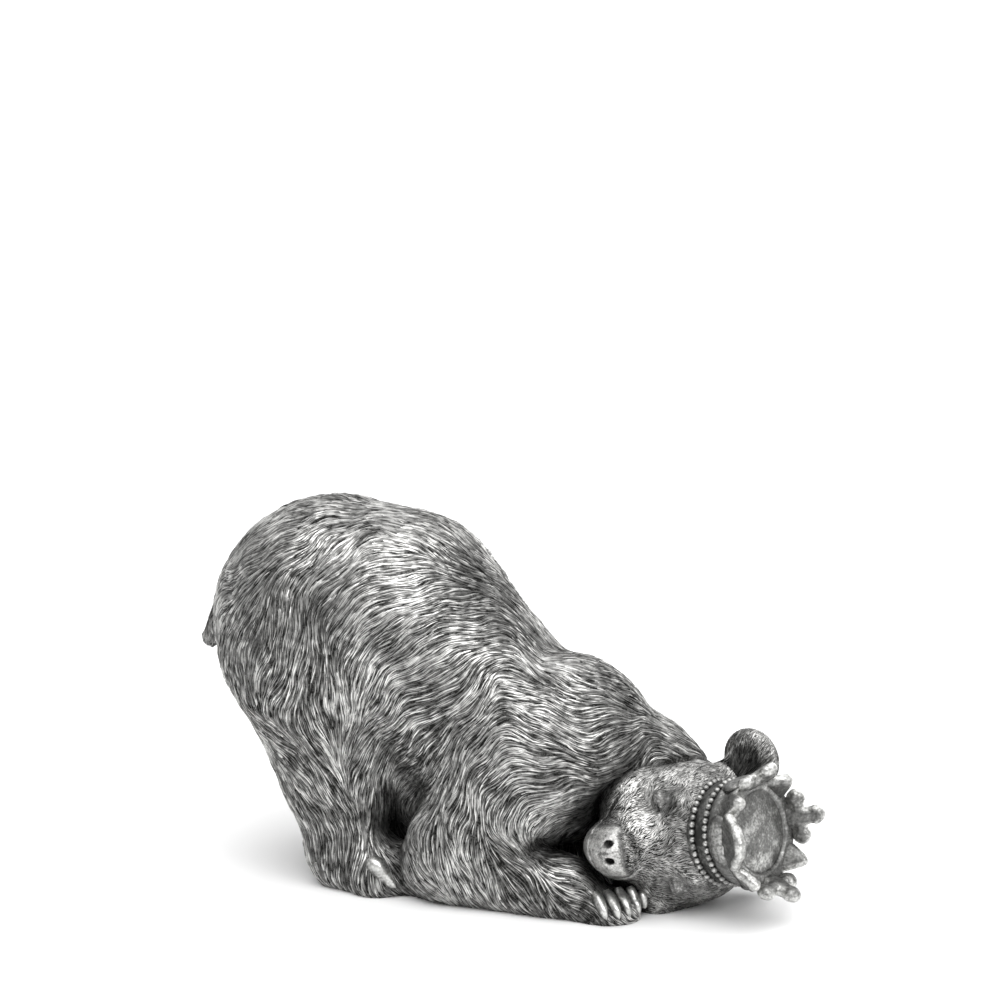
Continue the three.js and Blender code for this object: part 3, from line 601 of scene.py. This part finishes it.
def silver(name, dark, bright, rough, fine_scale, relief_strength, lines=False):
    """Antique silver: bright where tone is high, darkened where it is low, mottled by two noises.

    With lines, the finer noise runs along the strands, in the coordinates they carry.
    """
    material = bpy.data.materials.new(name)
    material.use_nodes = True
    nodes, links = material.node_tree.nodes, material.node_tree.links
    shader = nodes["Principled BSDF"]
    place = nodes.new("ShaderNodeTexCoord").outputs["Object"]
    tone = nodes.new("ShaderNodeAttribute")
    tone.attribute_name = "tone"
    along = place
    if lines:
        strand_place = nodes.new("ShaderNodeAttribute")
        strand_place.attribute_name = "grain"
        along = strand_place.outputs["Vector"]
    both = nodes.new("ShaderNodeMath")
    both.operation = "ADD"
    noises = ((MOTTLE_SCALE, MOTTLE_DETAIL, place), (fine_scale, FINE_DETAIL, along))
    for i, (scale, detail, vector) in enumerate(noises):
        noise = nodes.new("ShaderNodeTexNoise")
        noise.inputs["Scale"].default_value = scale
        noise.inputs["Detail"].default_value = detail
        links.new(vector, noise.inputs["Vector"])
        links.new(noise.outputs["Fac"], both.inputs[i])
    centred = nodes.new("ShaderNodeMath")
    centred.operation = "MULTIPLY_ADD"
    centred.inputs[1].default_value = NOISE_CONTRAST
    centred.inputs[2].default_value = -NOISE_CONTRAST
    links.new(both.outputs[0], centred.inputs[0])
    level = nodes.new("ShaderNodeMath")
    level.operation = "ADD"
    level.use_clamp = True
    links.new(tone.outputs["Fac"], level.inputs[0])
    links.new(centred.outputs[0], level.inputs[1])
    ramp = nodes.new("ShaderNodeValToRGB")
    stops = ramp.color_ramp.elements
    stops[0].position, stops[0].color = 0.0, (*dark, 1)
    stops[1].position, stops[1].color = 1.0, (*bright, 1)
    middle = stops.new(0.5)
    middle.color = (*[0.78 * a + 0.22 * b for a, b in zip(dark, bright)], 1)
    links.new(level.outputs[0], ramp.inputs["Fac"])
    links.new(ramp.outputs["Color"], shader.inputs["Base Color"])
    roughness = nodes.new("ShaderNodeMapRange")
    roughness.inputs["To Min"].default_value = rough + DARK_ROUGHER
    roughness.inputs["To Max"].default_value = rough
    links.new(level.outputs[0], roughness.inputs["Value"])
    links.new(roughness.outputs["Result"], shader.inputs["Roughness"])
    shader.inputs["Metallic"].default_value = METALLIC
    relief = nodes.new("ShaderNodeBump")
    relief.inputs["Strength"].default_value = relief_strength
    relief.inputs["Distance"].default_value = RELIEF_DEPTH
    links.new(both.outputs[0], relief.inputs["Height"])
    links.new(relief.outputs["Normal"], shader.inputs["Normal"])
    return material


DARK, BRIGHT = (0.012, 0.012, 0.011), (0.9, 0.895, 0.875)
fur_silver = silver("fur_silver", DARK, BRIGHT, 0.28, 1.0, 0.35, lines=True)
skin_silver = silver("skin_silver", DARK, BRIGHT, 0.42, 1100, 0.5)
crown_silver = silver("crown_silver", (0.04, 0.04, 0.038), (0.74, 0.74, 0.72), 0.3, 900, 0.3)


# Skin of the body and the head
def skin(field, low, high, cell):
    points, faces = surface_net(field, low, high, cell)
    points, n = settle(field, points, 2, cell * 0.6)
    return points, faces, n


body_points, body_faces, body_normals = skin(body_field, *BODY_GRID)
relief = lock_relief(body_points)
body_open = openness(body_points, body_normals)
body_skin = body_points + body_normals * (lock_depth(body_points) * relief - SKIN_SINK)[:, None]
# The skin tone is darkened by openness: painted shade, along with patina, in the creases
make_piece("body_skin", body_skin, body_faces, skin_silver, 0.04 + 0.16 * relief * body_open)

head_points, head_faces, head_normals = skin(head_field, *HEAD_GRID)
head_q = to_head(head_points)
face_q = face_coordinates(head_q)
head_open = openness(head_points, head_normals)
pad = rise(head_q[:, 0], 40, 4)
pad *= fall(head_q[:, 1], pad_edge(face_q), 1.2)
pad *= fall(np.abs(face_q[:, 2]), 13.5, 3)
# Bare lids are bright metal, and brighter still as a painted highlight
lid = sum(np.exp(-(((face_q - (24, 10, side)) ** 2).sum(1) / 30)) for side in (20, -20))
# Painted highlight along the top of the nose bridge
painted_bridge_highlight = np.exp(-(((face_q - (46.5, 4.0, 1.4)) / (4, 2.2, 7)) ** 2).sum(1))
# head_open darkens the head skin: painted shade, along with patina, in the creases
head_tone = (0.08 + 0.68 * pad + 0.7 * lid + 0.3 * painted_bridge_highlight) * (0.4 + 0.6 * head_open)
ear_rim = rise(head_q[:, 1], 16, 4) * fall(head_q[:, 0], -20, 3)
head_tone += 0.4 * ear_rim * (head_normals @ HEAD_FORWARD < 0.5)
make_piece("head_skin", head_points, head_faces, skin_silver, head_tone)


# Strands: leaf-shaped ridges that follow the flow over the skin
LEAVES = {  # by number of sections: half widths, heights, and tones of the crest between the ends
    6: (
        (0.0, 0.82, 1.0, 0.92, 0.6, 0.0),
        (0.0, 0.7, 1.0, 1.0, 0.75, 0.1),
        (0.45, 0.9, 1.0, 0.75),
    ),
    4: ((0.0, 1.0, 0.8, 0.0), (0.0, 0.9, 1.0, 0.1), (0.8, 1.0)),
}
EDGE_TONE, ROOT_TONE, TIP_TONE = -0.85, -0.6, 0.0
GRAIN_STEPS = (1.5, 0.35)  # noise coordinates from edge to crest and from section to section


def strands(field, flow, seeds, seed_normals, length, sections, bend):
    """Traces one strand from each seed. Gives section centres, normals and directions."""
    way = flow(seeds, seed_normals)
    turn = rng.normal(0, bend, len(seeds))
    p, n = seeds, seed_normals
    centres, ups, ways = [], [], []
    step = length / (sections - 1)
    for i in range(sections):
        if i:
            p = p + step[:, None] * way
            p, n = settle(field, p, 1, 2.0)
            fresh = flow(p, n)
            fresh *= np.where(dot(fresh, way) < 0, -1, 1)[:, None]
            way = fresh
            across = np.cross(n, way)
            way = unit(way + across * np.tan(turn)[:, None])
        centres.append(p)
        ups.append(n)
        ways.append(way)
    return np.stack(centres, 1), np.stack(ups, 1), np.stack(ways, 1)


def strand_mesh(centres, ups, ways, width, height, lift, sink, lean):
    """Points and triangles of the ridges: a tip at each end, and left, crest and right between."""
    count, sections = centres.shape[:2]
    side = np.cross(ups, ways)
    half = 0.5 * width[:, None] * np.array(LEAVES[sections][0])
    top = height[:, None] * np.array(LEAVES[sections][1]) + lift
    low = lift - sink
    left = centres - side * half[..., None] + ups * low[..., None]
    crest = centres + ups * top[..., None] + side * (half * lean[:, None])[..., None]
    right = centres + side * half[..., None] + ups * low[..., None]
    root = centres[:, 0] + ups[:, 0] * low[:, :1]
    tip = centres[:, -1] + ups[:, -1] * (lift[:, -1:] + TIP_LIFT)
    inner = np.stack([left, crest, right], 2)[:, 1:-1].reshape(count, -1, 3)
    points = np.concatenate([root[:, None], inner, tip[:, None]], 1)
    each = points.shape[1]
    rows = sections - 2
    faces = [(0, 2, 1), (0, 3, 2)]
    for r in range(rows - 1):
        a, b = 1 + 3 * r, 4 + 3 * r
        faces += [(a, a + 1, b + 1), (a, b + 1, b), (a + 1, a + 2, b + 2), (a + 1, b + 2, b + 1)]
    last = 1 + 3 * (rows - 1)
    faces += [(last, last + 1, each - 1), (last + 1, last + 2, each - 1)]
    faces = np.array(faces)
    triangles = (faces[None] + each * np.arange(count)[:, None, None]).reshape(-1, 3)
    return points.reshape(-1, 3), triangles, each


def strand_tones(sections, base, contrast):
    """Dark at the roots and along both edges, bright along the crest."""
    rows = [(EDGE_TONE, crest, EDGE_TONE) for crest in LEAVES[sections][2]]
    profile = np.array([ROOT_TONE, *[t for row in rows for t in row], TIP_TONE])
    return (base[:, None] + contrast[:, None] * profile).ravel()


def strand_grain(sections, count):
    """Coordinates for the fine lines of a strand: across it, along it and a number of its own."""
    inner = [(across, row) for row in range(1, sections - 1) for across in (-1, 0, 1)]
    profile = [(0, 0), *inner, (0, sections - 1)]
    grain = np.zeros((count, len(profile), 3))
    grain[:, :, :2] = np.array(profile) * GRAIN_STEPS
    grain += rng.uniform(0, 400, (count, 1, 3))
    return grain.reshape(-1, 3)


# Strands of the body, none under the head or at a claw
HIND_CLAW_ROOM, FORE_CLAW_ROOM = 4.6, 2.0
head_at_body = evaluate(lambda p: head_form(to_head(p)), body_points)
seeds_ok = (body_points[:, 2] > SEED_FLOOR) & (head_at_body > SEED_COVER)
seeds_ok &= rng.uniform(0, 1, len(body_points)) < SEED_SHARE
for claw_line in (*FORE, *FAR_FORE, HIND, (mirror(HIND[0]), mirror(HIND[1]))):
    room = HIND_CLAW_ROOM if claw_line[0][0] < 0 else FORE_CLAW_ROOM
    seeds_ok &= bone(body_points, *claw_line, room, room) > 0
body_seeds = body_points[seeds_ok]
body_seeds = body_seeds + rng.uniform(-BODY_SEED_SHIFT, BODY_SEED_SHIFT, body_seeds.shape)
body_seeds, seed_normals = settle(body_field, body_seeds, 1, 2.0)
count = len(body_seeds)
coarse = 1 + 0.16 * small_patches(body_seeds)
paw_part = rise(body_seeds[:, 0], 28, 10) * fall(body_seeds[:, 2], 20, 6)
tail_part = fall(body_seeds[:, 0], -165, 4)
size = coarse * (1 - 0.35 * paw_part) * (1 + 0.5 * tail_part) * rng.uniform(0.72, 1.3, count)
centres, ups, ways = strands(
    body_field, body_flow, body_seeds, seed_normals,
    STRAND_LENGTH * size, STRAND_SECTIONS, STRAND_BEND,
)
flat = centres.reshape(-1, 3)
strand_relief = lock_relief(flat).reshape(count, STRAND_SECTIONS)
lift = lock_depth(flat).reshape(count, STRAND_SECTIONS) * strand_relief - SKIN_SINK
width = STRAND_WIDTH * (0.8 + 0.2 * size) * rng.uniform(0.75, 1.2, count)
height = STRAND_HEIGHT * rng.uniform(0.45, 1.15, count) * (1 - 0.3 * paw_part)
lean = rng.uniform(-STRAND_LEAN, STRAND_LEAN, count)
points, triangles, each = strand_mesh(centres, ups, ways, width, height, lift, STRAND_SINK, lean)
# Openness darkens the strands' tone and contrast: painted shade, along with patina, in the creases
# and under the body. It is eased on the nape.
strand_open = openness(centres[:, 2], ups[:, 2])
nape = rise(body_seeds[:, 2], 50, 12) * (body_seeds[:, 0] > 20)
strand_open = np.maximum(strand_open, 0.5 * nape)
base = BODY_TONE + 0.07 * patches(body_seeds) + 0.06 * small_patches(body_seeds)
base += 0.2 * (strand_relief[:, 2] - 0.6) + rng.normal(0, BODY_SPECKLE, count)
base = base * (0.2 + 0.8 * strand_open)
contrast = BODY_CONTRAST + rng.normal(0, CONTRAST_SPREAD, count)
contrast = contrast * (0.3 + 0.7 * strand_open)
tones = strand_tones(STRAND_SECTIONS, base, contrast)
grain = strand_grain(STRAND_SECTIONS, count)
FUR_PIECES = ("fur_rump", "fur_flank", "fur_shoulder", "fur_foreleg")  # from the back to the front
order = np.argsort(body_seeds[:, 0])
for i, name in enumerate(FUR_PIECES):
    share = np.sort(order[count * i // len(FUR_PIECES) : count * (i + 1) // len(FUR_PIECES)])
    picked = (share[:, None] * each + np.arange(each)).ravel()
    one = triangles[: len(share) * (len(triangles) // count)]
    make_piece(name, points[picked], one, fur_silver, tones[picked], grain=grain[picked])

# Short fine strands on the head, none on the muzzle pad, the lids or under the crown
crown_distance = np.linalg.norm(head_q[:, [0, 2]], axis=1)
bare = (pad > 0.35) | (lid > 0.6) | (ear_rim > 0.6) & (head_normals @ HEAD_FORWARD < 0.45)
bare |= (head_q[:, 1] > 22) & (crown_distance < 22.5)
body_at_head = evaluate(body_form, head_points)
head_ok = ~bare & (head_points[:, 2] > SEED_FLOOR) & (body_at_head > SEED_COVER)
head_ok &= rng.uniform(0, 1, len(head_points)) < SEED_SHARE
head_seeds = head_points[head_ok]
head_seeds = head_seeds + rng.uniform(-HEAD_SEED_SHIFT, HEAD_SEED_SHIFT, head_seeds.shape)
head_seeds, n = settle(head_field, head_seeds, 1, 1.0)
count = len(head_seeds)
seed_q = to_head(head_seeds)
muzzle = rise(seed_q[:, 0], 22, 22)
in_ear = (seed_q[:, 1] > 15) & (seed_q[:, 0] < -14) & (n @ HEAD_FORWARD > 0.3)
size = (1 - 0.45 * muzzle + 0.9 * in_ear) * rng.uniform(0.75, 1.25, count)
centres, ups, ways = strands(
    head_field, head_flow, head_seeds, n,
    HEAD_STRAND_LENGTH * size, HEAD_STRAND_SECTIONS, HEAD_STRAND_BEND,
)
width = HEAD_STRAND_WIDTH * (1 - 0.35 * muzzle) * rng.uniform(0.8, 1.2, count)
height = HEAD_STRAND_HEIGHT * (1 - 0.45 * muzzle) * rng.uniform(0.5, 1.2, count)
lift = np.full((count, HEAD_STRAND_SECTIONS), HEAD_STRAND_LIFT)
lean = rng.uniform(-HEAD_STRAND_LEAN, HEAD_STRAND_LEAN, count)
points, triangles, _ = strand_mesh(centres, ups, ways, width, height, lift, HEAD_STRAND_SINK, lean)
# Openness darkens these strands too: painted shade, along with patina, in the creases. It is eased
# in the ear and on the muzzle.
strand_open = openness(centres[:, 2], ups[:, 2])
strand_open = np.maximum(strand_open, np.maximum(0.75 * in_ear, 0.6 * muzzle))
# Painted light: strands on the muzzle and above the nose are lightened where shade and dark
# reflections fall
painted_above_nose_light = np.exp(-(((face_coordinates(seed_q) - (43, 8, 0)) / (6, 5, 9)) ** 2).sum(1))
base = HEAD_TONE + 0.24 * muzzle + 0.2 * painted_above_nose_light + 0.08 * small_patches(head_seeds)
base = base + rng.normal(0, HEAD_SPECKLE + 0.08 * in_ear, count)
base = base * (0.25 + 0.75 * strand_open)
contrast = (HEAD_CONTRAST - 0.05 * muzzle) * (0.35 + 0.65 * strand_open)
tones = strand_tones(HEAD_STRAND_SECTIONS, base, contrast)
grain = strand_grain(HEAD_STRAND_SECTIONS, count)
make_piece("fur_head", points, triangles, fur_silver, tones, grain=grain)


# Crown: X to the front, Y across the head, Z up along the crown
CROWN_AXES = np.array([HEAD_FORWARD, np.cross(HEAD_UP, HEAD_FORWARD), HEAD_UP])
CROWN_PLACE = from_head([0, 29, 0])
CROWN_RADIUS, CROWN_WALL = 23.4, 16.5
RIM_RADIUS, RIM_INSIDE = 24.8, 19.0
BEAD_DIAMETER, BEAD_GAP, BEAD_ROWS = 3.2, 0.12, (-5.0, 2.4)
BEAD_RING = CROWN_RADIUS - 0.15
LEAF_ROOT, LEAN, LEAF_THICKNESS, LEAF_CELL = 4.0, 0.46, 5.2, 0.52
FRONT_LEAN, FRONT_TURN = 0.6, -0.12  # of the large leaf nearest the camera
LEAF_TURNS = [FRONT_TURN, *[k * math.pi / 2 for k in (1, 2, 3)]]
POINT_TURNS = [math.pi / 4 + k * math.pi / 2 for k in range(4)]
BAND_SIDES = 160
HAMMERING = 0.12  # unevenness of the band and its top
TOP_BEGINS = 14  # height from which the band's profile turns in to the top


def set_crown(points):
    return points @ CROWN_AXES + CROWN_PLACE


def turn_crown(points, turn):
    """Points turned about the crown's own axis."""
    c, s = math.cos(turn), math.sin(turn)
    return points @ np.array([[c, s, 0], [-s, c, 0], [0, 0, 1]])


BAND = [  # radius and height along the profile, from below the beads to the middle of the top
    (19.5, -12), (22.2, -9.6), (23.2, -7.6), (23.3, -6.6), (22.6, -5.6), (22.5, -4.4), (23.1, -3.4),
    (23.4, -2.5), (23.3, -1.2), (23.4, 0), (23.1, 0.9), (22.5, 1.8), (22.6, 3.0), (23.2, 4.0),
    (23.5, 5.0), (23.4, 6.6), (23.3, 8.2), (23.4, 9.8), (23.7, 11.0), (24.1, 12.2), (24.7, 13.8),
    (25.0, 15.2), (24.9, 16.1), (24.4, 16.6), (23.0, 16.7), (21.0, 16.5), (19.6, 16.5),
    (19.1, 16.2), (18.7, 15.5), (18.2, 15.1), (17.7, 15.2), (17.2, 15.3), (16.4, 15.4),
    (14.5, 15.8), (12, 16.3), (9, 16.7), (6, 17.0), (3, 17.2), (0.01, 17.2),
]
angles = np.arange(BAND_SIDES) * 2 * math.pi / BAND_SIDES
rings = []
hammered = waves(31, 7)
for radius, z in BAND:
    ring = np.stack([np.cos(angles) * radius, np.sin(angles) * radius, np.full(BAND_SIDES, z)], 1)
    push = HAMMERING * hammered(ring)
    ring[:, 2] += push * (z > TOP_BEGINS)
    ring[:, :2] *= 1 + (push / max(radius, 5))[:, None] * (z <= TOP_BEGINS)
    rings.append(ring)
band = np.concatenate(rings)
i, j = np.meshgrid(np.arange(len(BAND) - 1), np.arange(BAND_SIDES), indexing="ij")
a = (i * BAND_SIDES + j).ravel()
b = (i * BAND_SIDES + (j + 1) % BAND_SIDES).ravel()
band_faces = np.stack([a, b, b + BAND_SIDES, a + BAND_SIDES], 1)
band_radius = np.linalg.norm(band[:, :2], axis=1)
hollow = sum(hump(band[:, 2] - z, 2.4) for z in (*BEAD_ROWS, -1.3)) * (band_radius > 22)
groove = hump(band_radius - 18.3, 0.5) * (band[:, 2] > TOP_BEGINS)
edge = hump(band_radius - RIM_RADIUS, 0.5) * (band[:, 2] > 13.5)
band_tone = 0.5 - 0.38 * hollow - 0.3 * groove + 0.3 * edge + 0.09 * waves(33, 14)(band)
make_piece("crown_band", set_crown(band), band_faces, crown_silver, band_tone)


def ball(radius, rows=8, columns=12):
    polar = np.linspace(0.02, math.pi - 0.02, rows)
    turn = np.arange(columns) * 2 * math.pi / columns
    ring = [[(math.sin(t) * math.cos(u), math.sin(t) * math.sin(u), math.cos(t)) for u in turn]
            for t in polar]
    quads = []
    for r in range(0, (rows - 1) * columns, columns):
        for c in range(columns):
            d = (c + 1) % columns
            quads.append((r + c, r + columns + c, r + columns + d, r + d))
    return radius * np.array(ring).reshape(-1, 3), np.array(quads)


bead, bead_faces = ball(BEAD_DIAMETER / 2)
bead_count = round(2 * math.pi * BEAD_RING / (BEAD_DIAMETER + BEAD_GAP))
all_beads, all_faces, bead_tones = [], [], []
for row, z in enumerate(BEAD_ROWS):
    for i in range(bead_count):
        turn = (i + row / 2) / bead_count * 2 * math.pi
        out = np.array([math.cos(turn), math.sin(turn), 0])
        scale = rng.uniform(0.9, 1.08)
        placed = bead * scale + out * (BEAD_RING + rng.uniform(-0.15, 0.1)) + (0, 0, z)
        all_faces.append(bead_faces + len(bead) * len(all_beads))
        all_beads.append(placed)
        bead_tones.append(0.25 + 0.55 * np.clip(bead @ out / (BEAD_DIAMETER / 2), 0, 1))
make_piece("crown_beads", set_crown(np.concatenate(all_beads)), np.concatenate(all_faces),
           crown_silver, np.concatenate(bead_tones))

# Leaves of the crown, meshed from a rounded outline: X through the leaf, Y across, Z up
LOBE, SCALLOP, FLUTE = 4.5, 0.12, 0.14
ROUND_EDGE = 2.1
LEAF_TOP = LEAF_ROOT + 16
SIDE_HEIGHT = LEAF_TOP - LOBE - 8
SIDE_REACH = 13 - LOBE


def flat_bone(y, z, start, end, a, b):
    p = np.stack([y, z, np.zeros(len(y))], 1)
    return bone(p, (*start, 0), (*end, 0), a, b)


def fleuron_outline(y, z):
    d = flat_bone(y, z, (0, 1), (0, LEAF_TOP - LOBE), 5.6, 3.4)
    d = join(d, flat_bone(y, z, (-SIDE_REACH, SIDE_HEIGHT), (SIDE_REACH, SIDE_HEIGHT), 3, 3), 2)
    for cy, cz in ((-SIDE_REACH, SIDE_HEIGHT), (SIDE_REACH, SIDE_HEIGHT), (0, LEAF_TOP - LOBE)):
        scallop = SCALLOP * np.cos(4 * np.arctan2(y - cy, z - cz))
        d = join(d, np.hypot(y - cy, z - cz) - LOBE + 0.2 - scallop, 0.8)
    return d


def shield_outline(y, z):
    """The near leaf, which shows no gaps between its lobes."""
    return join(fleuron_outline(y, z), flat_bone(y, z, (0, 3), (0, 10.5), 8.5, 9.5), 2)


def point_outline(y, z):
    slope = unit([9.0, 5.4])
    sides = slope[0] * (np.abs(y) - 6.4) + slope[1] * (z - LEAF_ROOT)
    return carve(carve(carve(sides, z, 1), 7 - np.abs(y), 1), 12.6 - z, 3) - 0.6


def leaf_field(outline, dish, ridge):
    """A leaf of that outline with rounded edges, dished on the inside and ridged on the outside."""
    def field(p):
        x, y, z = p.T
        inset = np.clip(-outline(y, z), 0, None)
        inner = np.clip(inset, 0, ROUND_EDGE)
        half = LEAF_THICKNESS / 2 * np.sqrt(np.clip(inner * (2 * ROUND_EDGE - inner), 0, None))
        half = half / ROUND_EDGE
        x = x + dish * rise(inset, 1.2, 1.6) * (x < 0)
        x = x - ridge * hump(y, 1.6) * (x > 0)
        flute = FLUTE * np.cos(2.4 * (np.abs(y) + 0.5 * z))
        return np.where(inset > 0, (np.abs(x) - half - flute * (x > 0)) * 0.7,
                        np.maximum(outline(y, z), 0.05))
    return field


def leaf(outline, dish, ridge, top, across):
    field = leaf_field(outline, dish, ridge)
    points, faces = surface_net(field, (-4, -across, -1), (4, across, top), LEAF_CELL)
    edge = np.clip(1 + outline(points[:, 1], points[:, 2]) / 2.2, 0, 1)
    outside = points[:, 0] >= 0
    tone = 0.36 + 0.4 * edge + 0.06 * outside - 0.25 * fall(points[:, 2], 5, 4)
    return points, faces, tone


def set_leaf(points, turn, lean):
    x, y, z = points.T
    leaning = np.stack([x * math.cos(lean) + z * math.sin(lean), y,
                        -x * math.sin(lean) + z * math.cos(lean)], 1)
    leaning += ((RIM_INSIDE + RIM_RADIUS) / 2, 0, CROWN_WALL - LEAF_ROOT * math.cos(lean))
    return turn_crown(leaning, turn)


# Swelling of the wall below each large leaf
boss, boss_faces = ball(1.0, 20, 32)
boss = boss * (2.8, 11.5, 7.6) + (CROWN_RADIUS - 0.7, 0, 10.6)
boss[:, 0] += 0.07 * (boss[:, 2] - 8)
bosses = np.concatenate([turn_crown(boss, turn) for turn in LEAF_TURNS])
boss_tone = 0.32 + 0.3 * rise(boss[:, 0], CROWN_RADIUS, 2)
make_piece("crown_swellings", set_crown(bosses),
           np.concatenate([boss_faces + k * len(boss) for k in range(4)]), crown_silver,
           np.tile(boss_tone, 4))

fleuron = leaf(fleuron_outline, 0.7, 0.0, 21, 14)
shield = leaf(shield_outline, 0.7, 0.6, 21, 14)
point = leaf(point_outline, 0.3, 0.9, 15, 8)
LEAF_SHARP_ANGLE = 50
for name, shapes, turns, leans in (
    ("crown_fleurons", (shield, fleuron, fleuron, fleuron), LEAF_TURNS, (FRONT_LEAN, *[LEAN] * 3)),
    ("crown_points", (point, point, point, point), POINT_TURNS, [LEAN] * 4),
):
    placed = [set_leaf(s[0], turn, lean) for s, turn, lean in zip(shapes, turns, leans)]
    starts = np.cumsum([0] + [len(s[0]) for s in shapes[:3]])
    faces = [s[1] + start for s, start in zip(shapes, starts)]
    make_piece(name, set_crown(np.concatenate(placed)), np.concatenate(faces), crown_silver,
               np.concatenate([s[2] for s in shapes]), LEAF_SHARP_ANGLE)


# Claws: tapered, curved, with a keel along the back
CLAW_SECTIONS, CLAW_SIDES = 16, 18
CLAW_START, CLAW_END = -0.12, 1.06  # along the line from root to tip


def claw(root, tip, diameter, back, proud):
    """A claw from root to tip. back is the way its back faces, where the keel is bright."""
    root, tip = np.asarray(root, float), np.asarray(tip, float)
    way = unit(tip - root)
    up = unit(np.asarray(back, float) - np.dot(back, way) * way)
    side = np.cross(way, up)
    t = np.linspace(CLAW_START, CLAW_END, CLAW_SECTIONS)
    stations = [CLAW_START, 0, 0.3, 0.7, 0.95, CLAW_END]
    radius = diameter / 2 * np.interp(t, stations, [0.5, 0.8, 1, 0.8, 0.5, 0.05])
    turn = np.arange(CLAW_SIDES) * 2 * math.pi / CLAW_SIDES
    keel = 1 + 0.22 * hump((turn + math.pi) % (2 * math.pi) - math.pi, 0.5)
    middle = root + (tip - root) * t[:, None]
    raise_by = np.clip(-evaluate(body_field, middle), -1, 8) + proud
    raise_by = np.where(t < 0.75, raise_by, raise_by[np.searchsorted(t, 0.75)])
    middle = middle + up * (raise_by * np.interp(t, [CLAW_START, 0.1], [0.5, 1]))[:, None]
    ring = np.cos(turn)[:, None] * up + np.sin(turn)[:, None] * side
    points = middle[:, None] + radius[:, None, None] * keel[None, :, None] * ring[None]
    rows, columns = len(t), len(turn)
    i, j = np.meshgrid(np.arange(rows - 1), np.arange(columns), indexing="ij")
    a, b = i * columns + j, i * columns + (j + 1) % columns
    faces = np.stack([a, b, b + columns, a + columns], -1).reshape(-1, 4)
    tone = np.broadcast_to(0.34 + 0.56 * np.clip(np.cos(turn), 0, 1) ** 2, (rows, columns))
    return points.reshape(-1, 3), faces, tone.ravel()


claws = [claw(*line, 5.9, (0.6, -0.75, 0.3), 1.6) for line in FORE]
claws += [claw(*line, 5.4, (0.8, 0, 0.6), 1.6) for line in FAR_FORE]
for flip in (1, -1):
    root, tip = (np.array(v) * (1, flip, 1) for v in HIND)
    claws.append(claw(root, tip, 9.8, (0.4, -0.8 * flip, 0.5), 2.2))
parts, faces, tones = zip(*claws)
faces = [rows + k * len(parts[0]) for k, rows in enumerate(faces)]
make_piece("claws", np.concatenate(parts), np.concatenate(faces), crown_silver,
           np.concatenate(tones))

# Floor, light and camera
REACH = 4  # of the floor, in metres
floor_corners = [(-REACH, -REACH, 0), (REACH, -REACH, 0), (REACH, REACH, 0), (-REACH, REACH, 0)]
floor_mesh = bpy.data.meshes.new("floor")
floor_mesh.from_pydata(floor_corners, [], [(0, 1, 2, 3)])
floor_material = bpy.data.materials.new("floor_white")
floor_material.use_nodes = True
floor_shader = floor_material.node_tree.nodes["Principled BSDF"]
floor_shader.inputs["Base Color"].default_value = (0.93, 0.93, 0.93, 1)
floor_shader.inputs["Roughness"].default_value = 0.9
floor_mesh.materials.append(floor_material)
floor = bpy.data.objects.new("floor", floor_mesh)
bpy.context.scene.collection.objects.link(floor)

SKY_SHADES = ((0.08, 0.56), (0.2, 0.24), (0.5, 0.3), (0.75, 0.8))  # height and brightness
SKY_STRENGTH = 1.8
world = bpy.data.worlds.new("studio")
bpy.context.scene.world = world
world.use_nodes = True
sky = world.node_tree
split = sky.nodes.new("ShaderNodeSeparateXYZ")
sky.links.new(sky.nodes.new("ShaderNodeTexCoord").outputs["Generated"], split.inputs[0])
shades = sky.nodes.new("ShaderNodeValToRGB")
stops = shades.color_ramp.elements
stops[0].position, stops[0].color = 0.0, (0.62, 0.62, 0.62, 1)
stops[1].position, stops[1].color = 1.0, (1, 1, 1, 1)
for place, shade in SKY_SHADES:
    stops.new(place).color = (shade, shade, shade, 1)
sky.links.new(split.outputs["Z"], shades.inputs["Fac"])
sky.links.new(shades.outputs["Color"], sky.nodes["Background"].inputs["Color"])
sky.nodes["Background"].inputs["Strength"].default_value = SKY_STRENGTH


def softbox(name, place, aim, size, power):
    """A square light at a place, facing an aim, in metres and watts."""
    light = bpy.data.lights.new(name, "AREA")
    light.shape, light.size, light.energy = "SQUARE", size, power
    lamp = bpy.data.objects.new(name, light)
    lamp.location = place
    lamp.rotation_euler = (Vector(aim) - Vector(place)).to_track_quat("-Z", "Y").to_euler()
    bpy.context.scene.collection.objects.link(lamp)


softbox("key", (0.3, -0.45, 1.1), (0, 0, 0.08), 0.95, 6)
softbox("side", (1.0, -0.35, 0.6), (0, 0, 0.05), 0.4, 2)
softbox("back", (0.3, 1.0, 0.6), (0, 0, 0.1), 1.2, 6)

# Camera fitted to the photo's, which has no shift
AZIMUTH, ELEVATION = math.radians(28.118), math.radians(10.222)
CAMERA_PLACE = np.array([516.1, -997.6, 387.5])
LENS, SENSOR = 88.83, 36
toward = Vector((math.sin(AZIMUTH) * math.cos(ELEVATION), -math.cos(AZIMUTH) * math.cos(ELEVATION),
                 math.sin(ELEVATION)))
camera_data = bpy.data.cameras.new("camera")
camera_data.lens, camera_data.sensor_width = LENS, SENSOR
camera = bpy.data.objects.new("camera", camera_data)
camera.location = (CAMERA_PLACE + POSE_TO_ROW) * METRE
camera.rotation_euler = (-toward).to_track_quat("-Z", "Y").to_euler()
bpy.context.scene.collection.objects.link(camera)
bpy.context.scene.camera = camera
bpy.context.scene.view_settings.view_transform = "Standard"
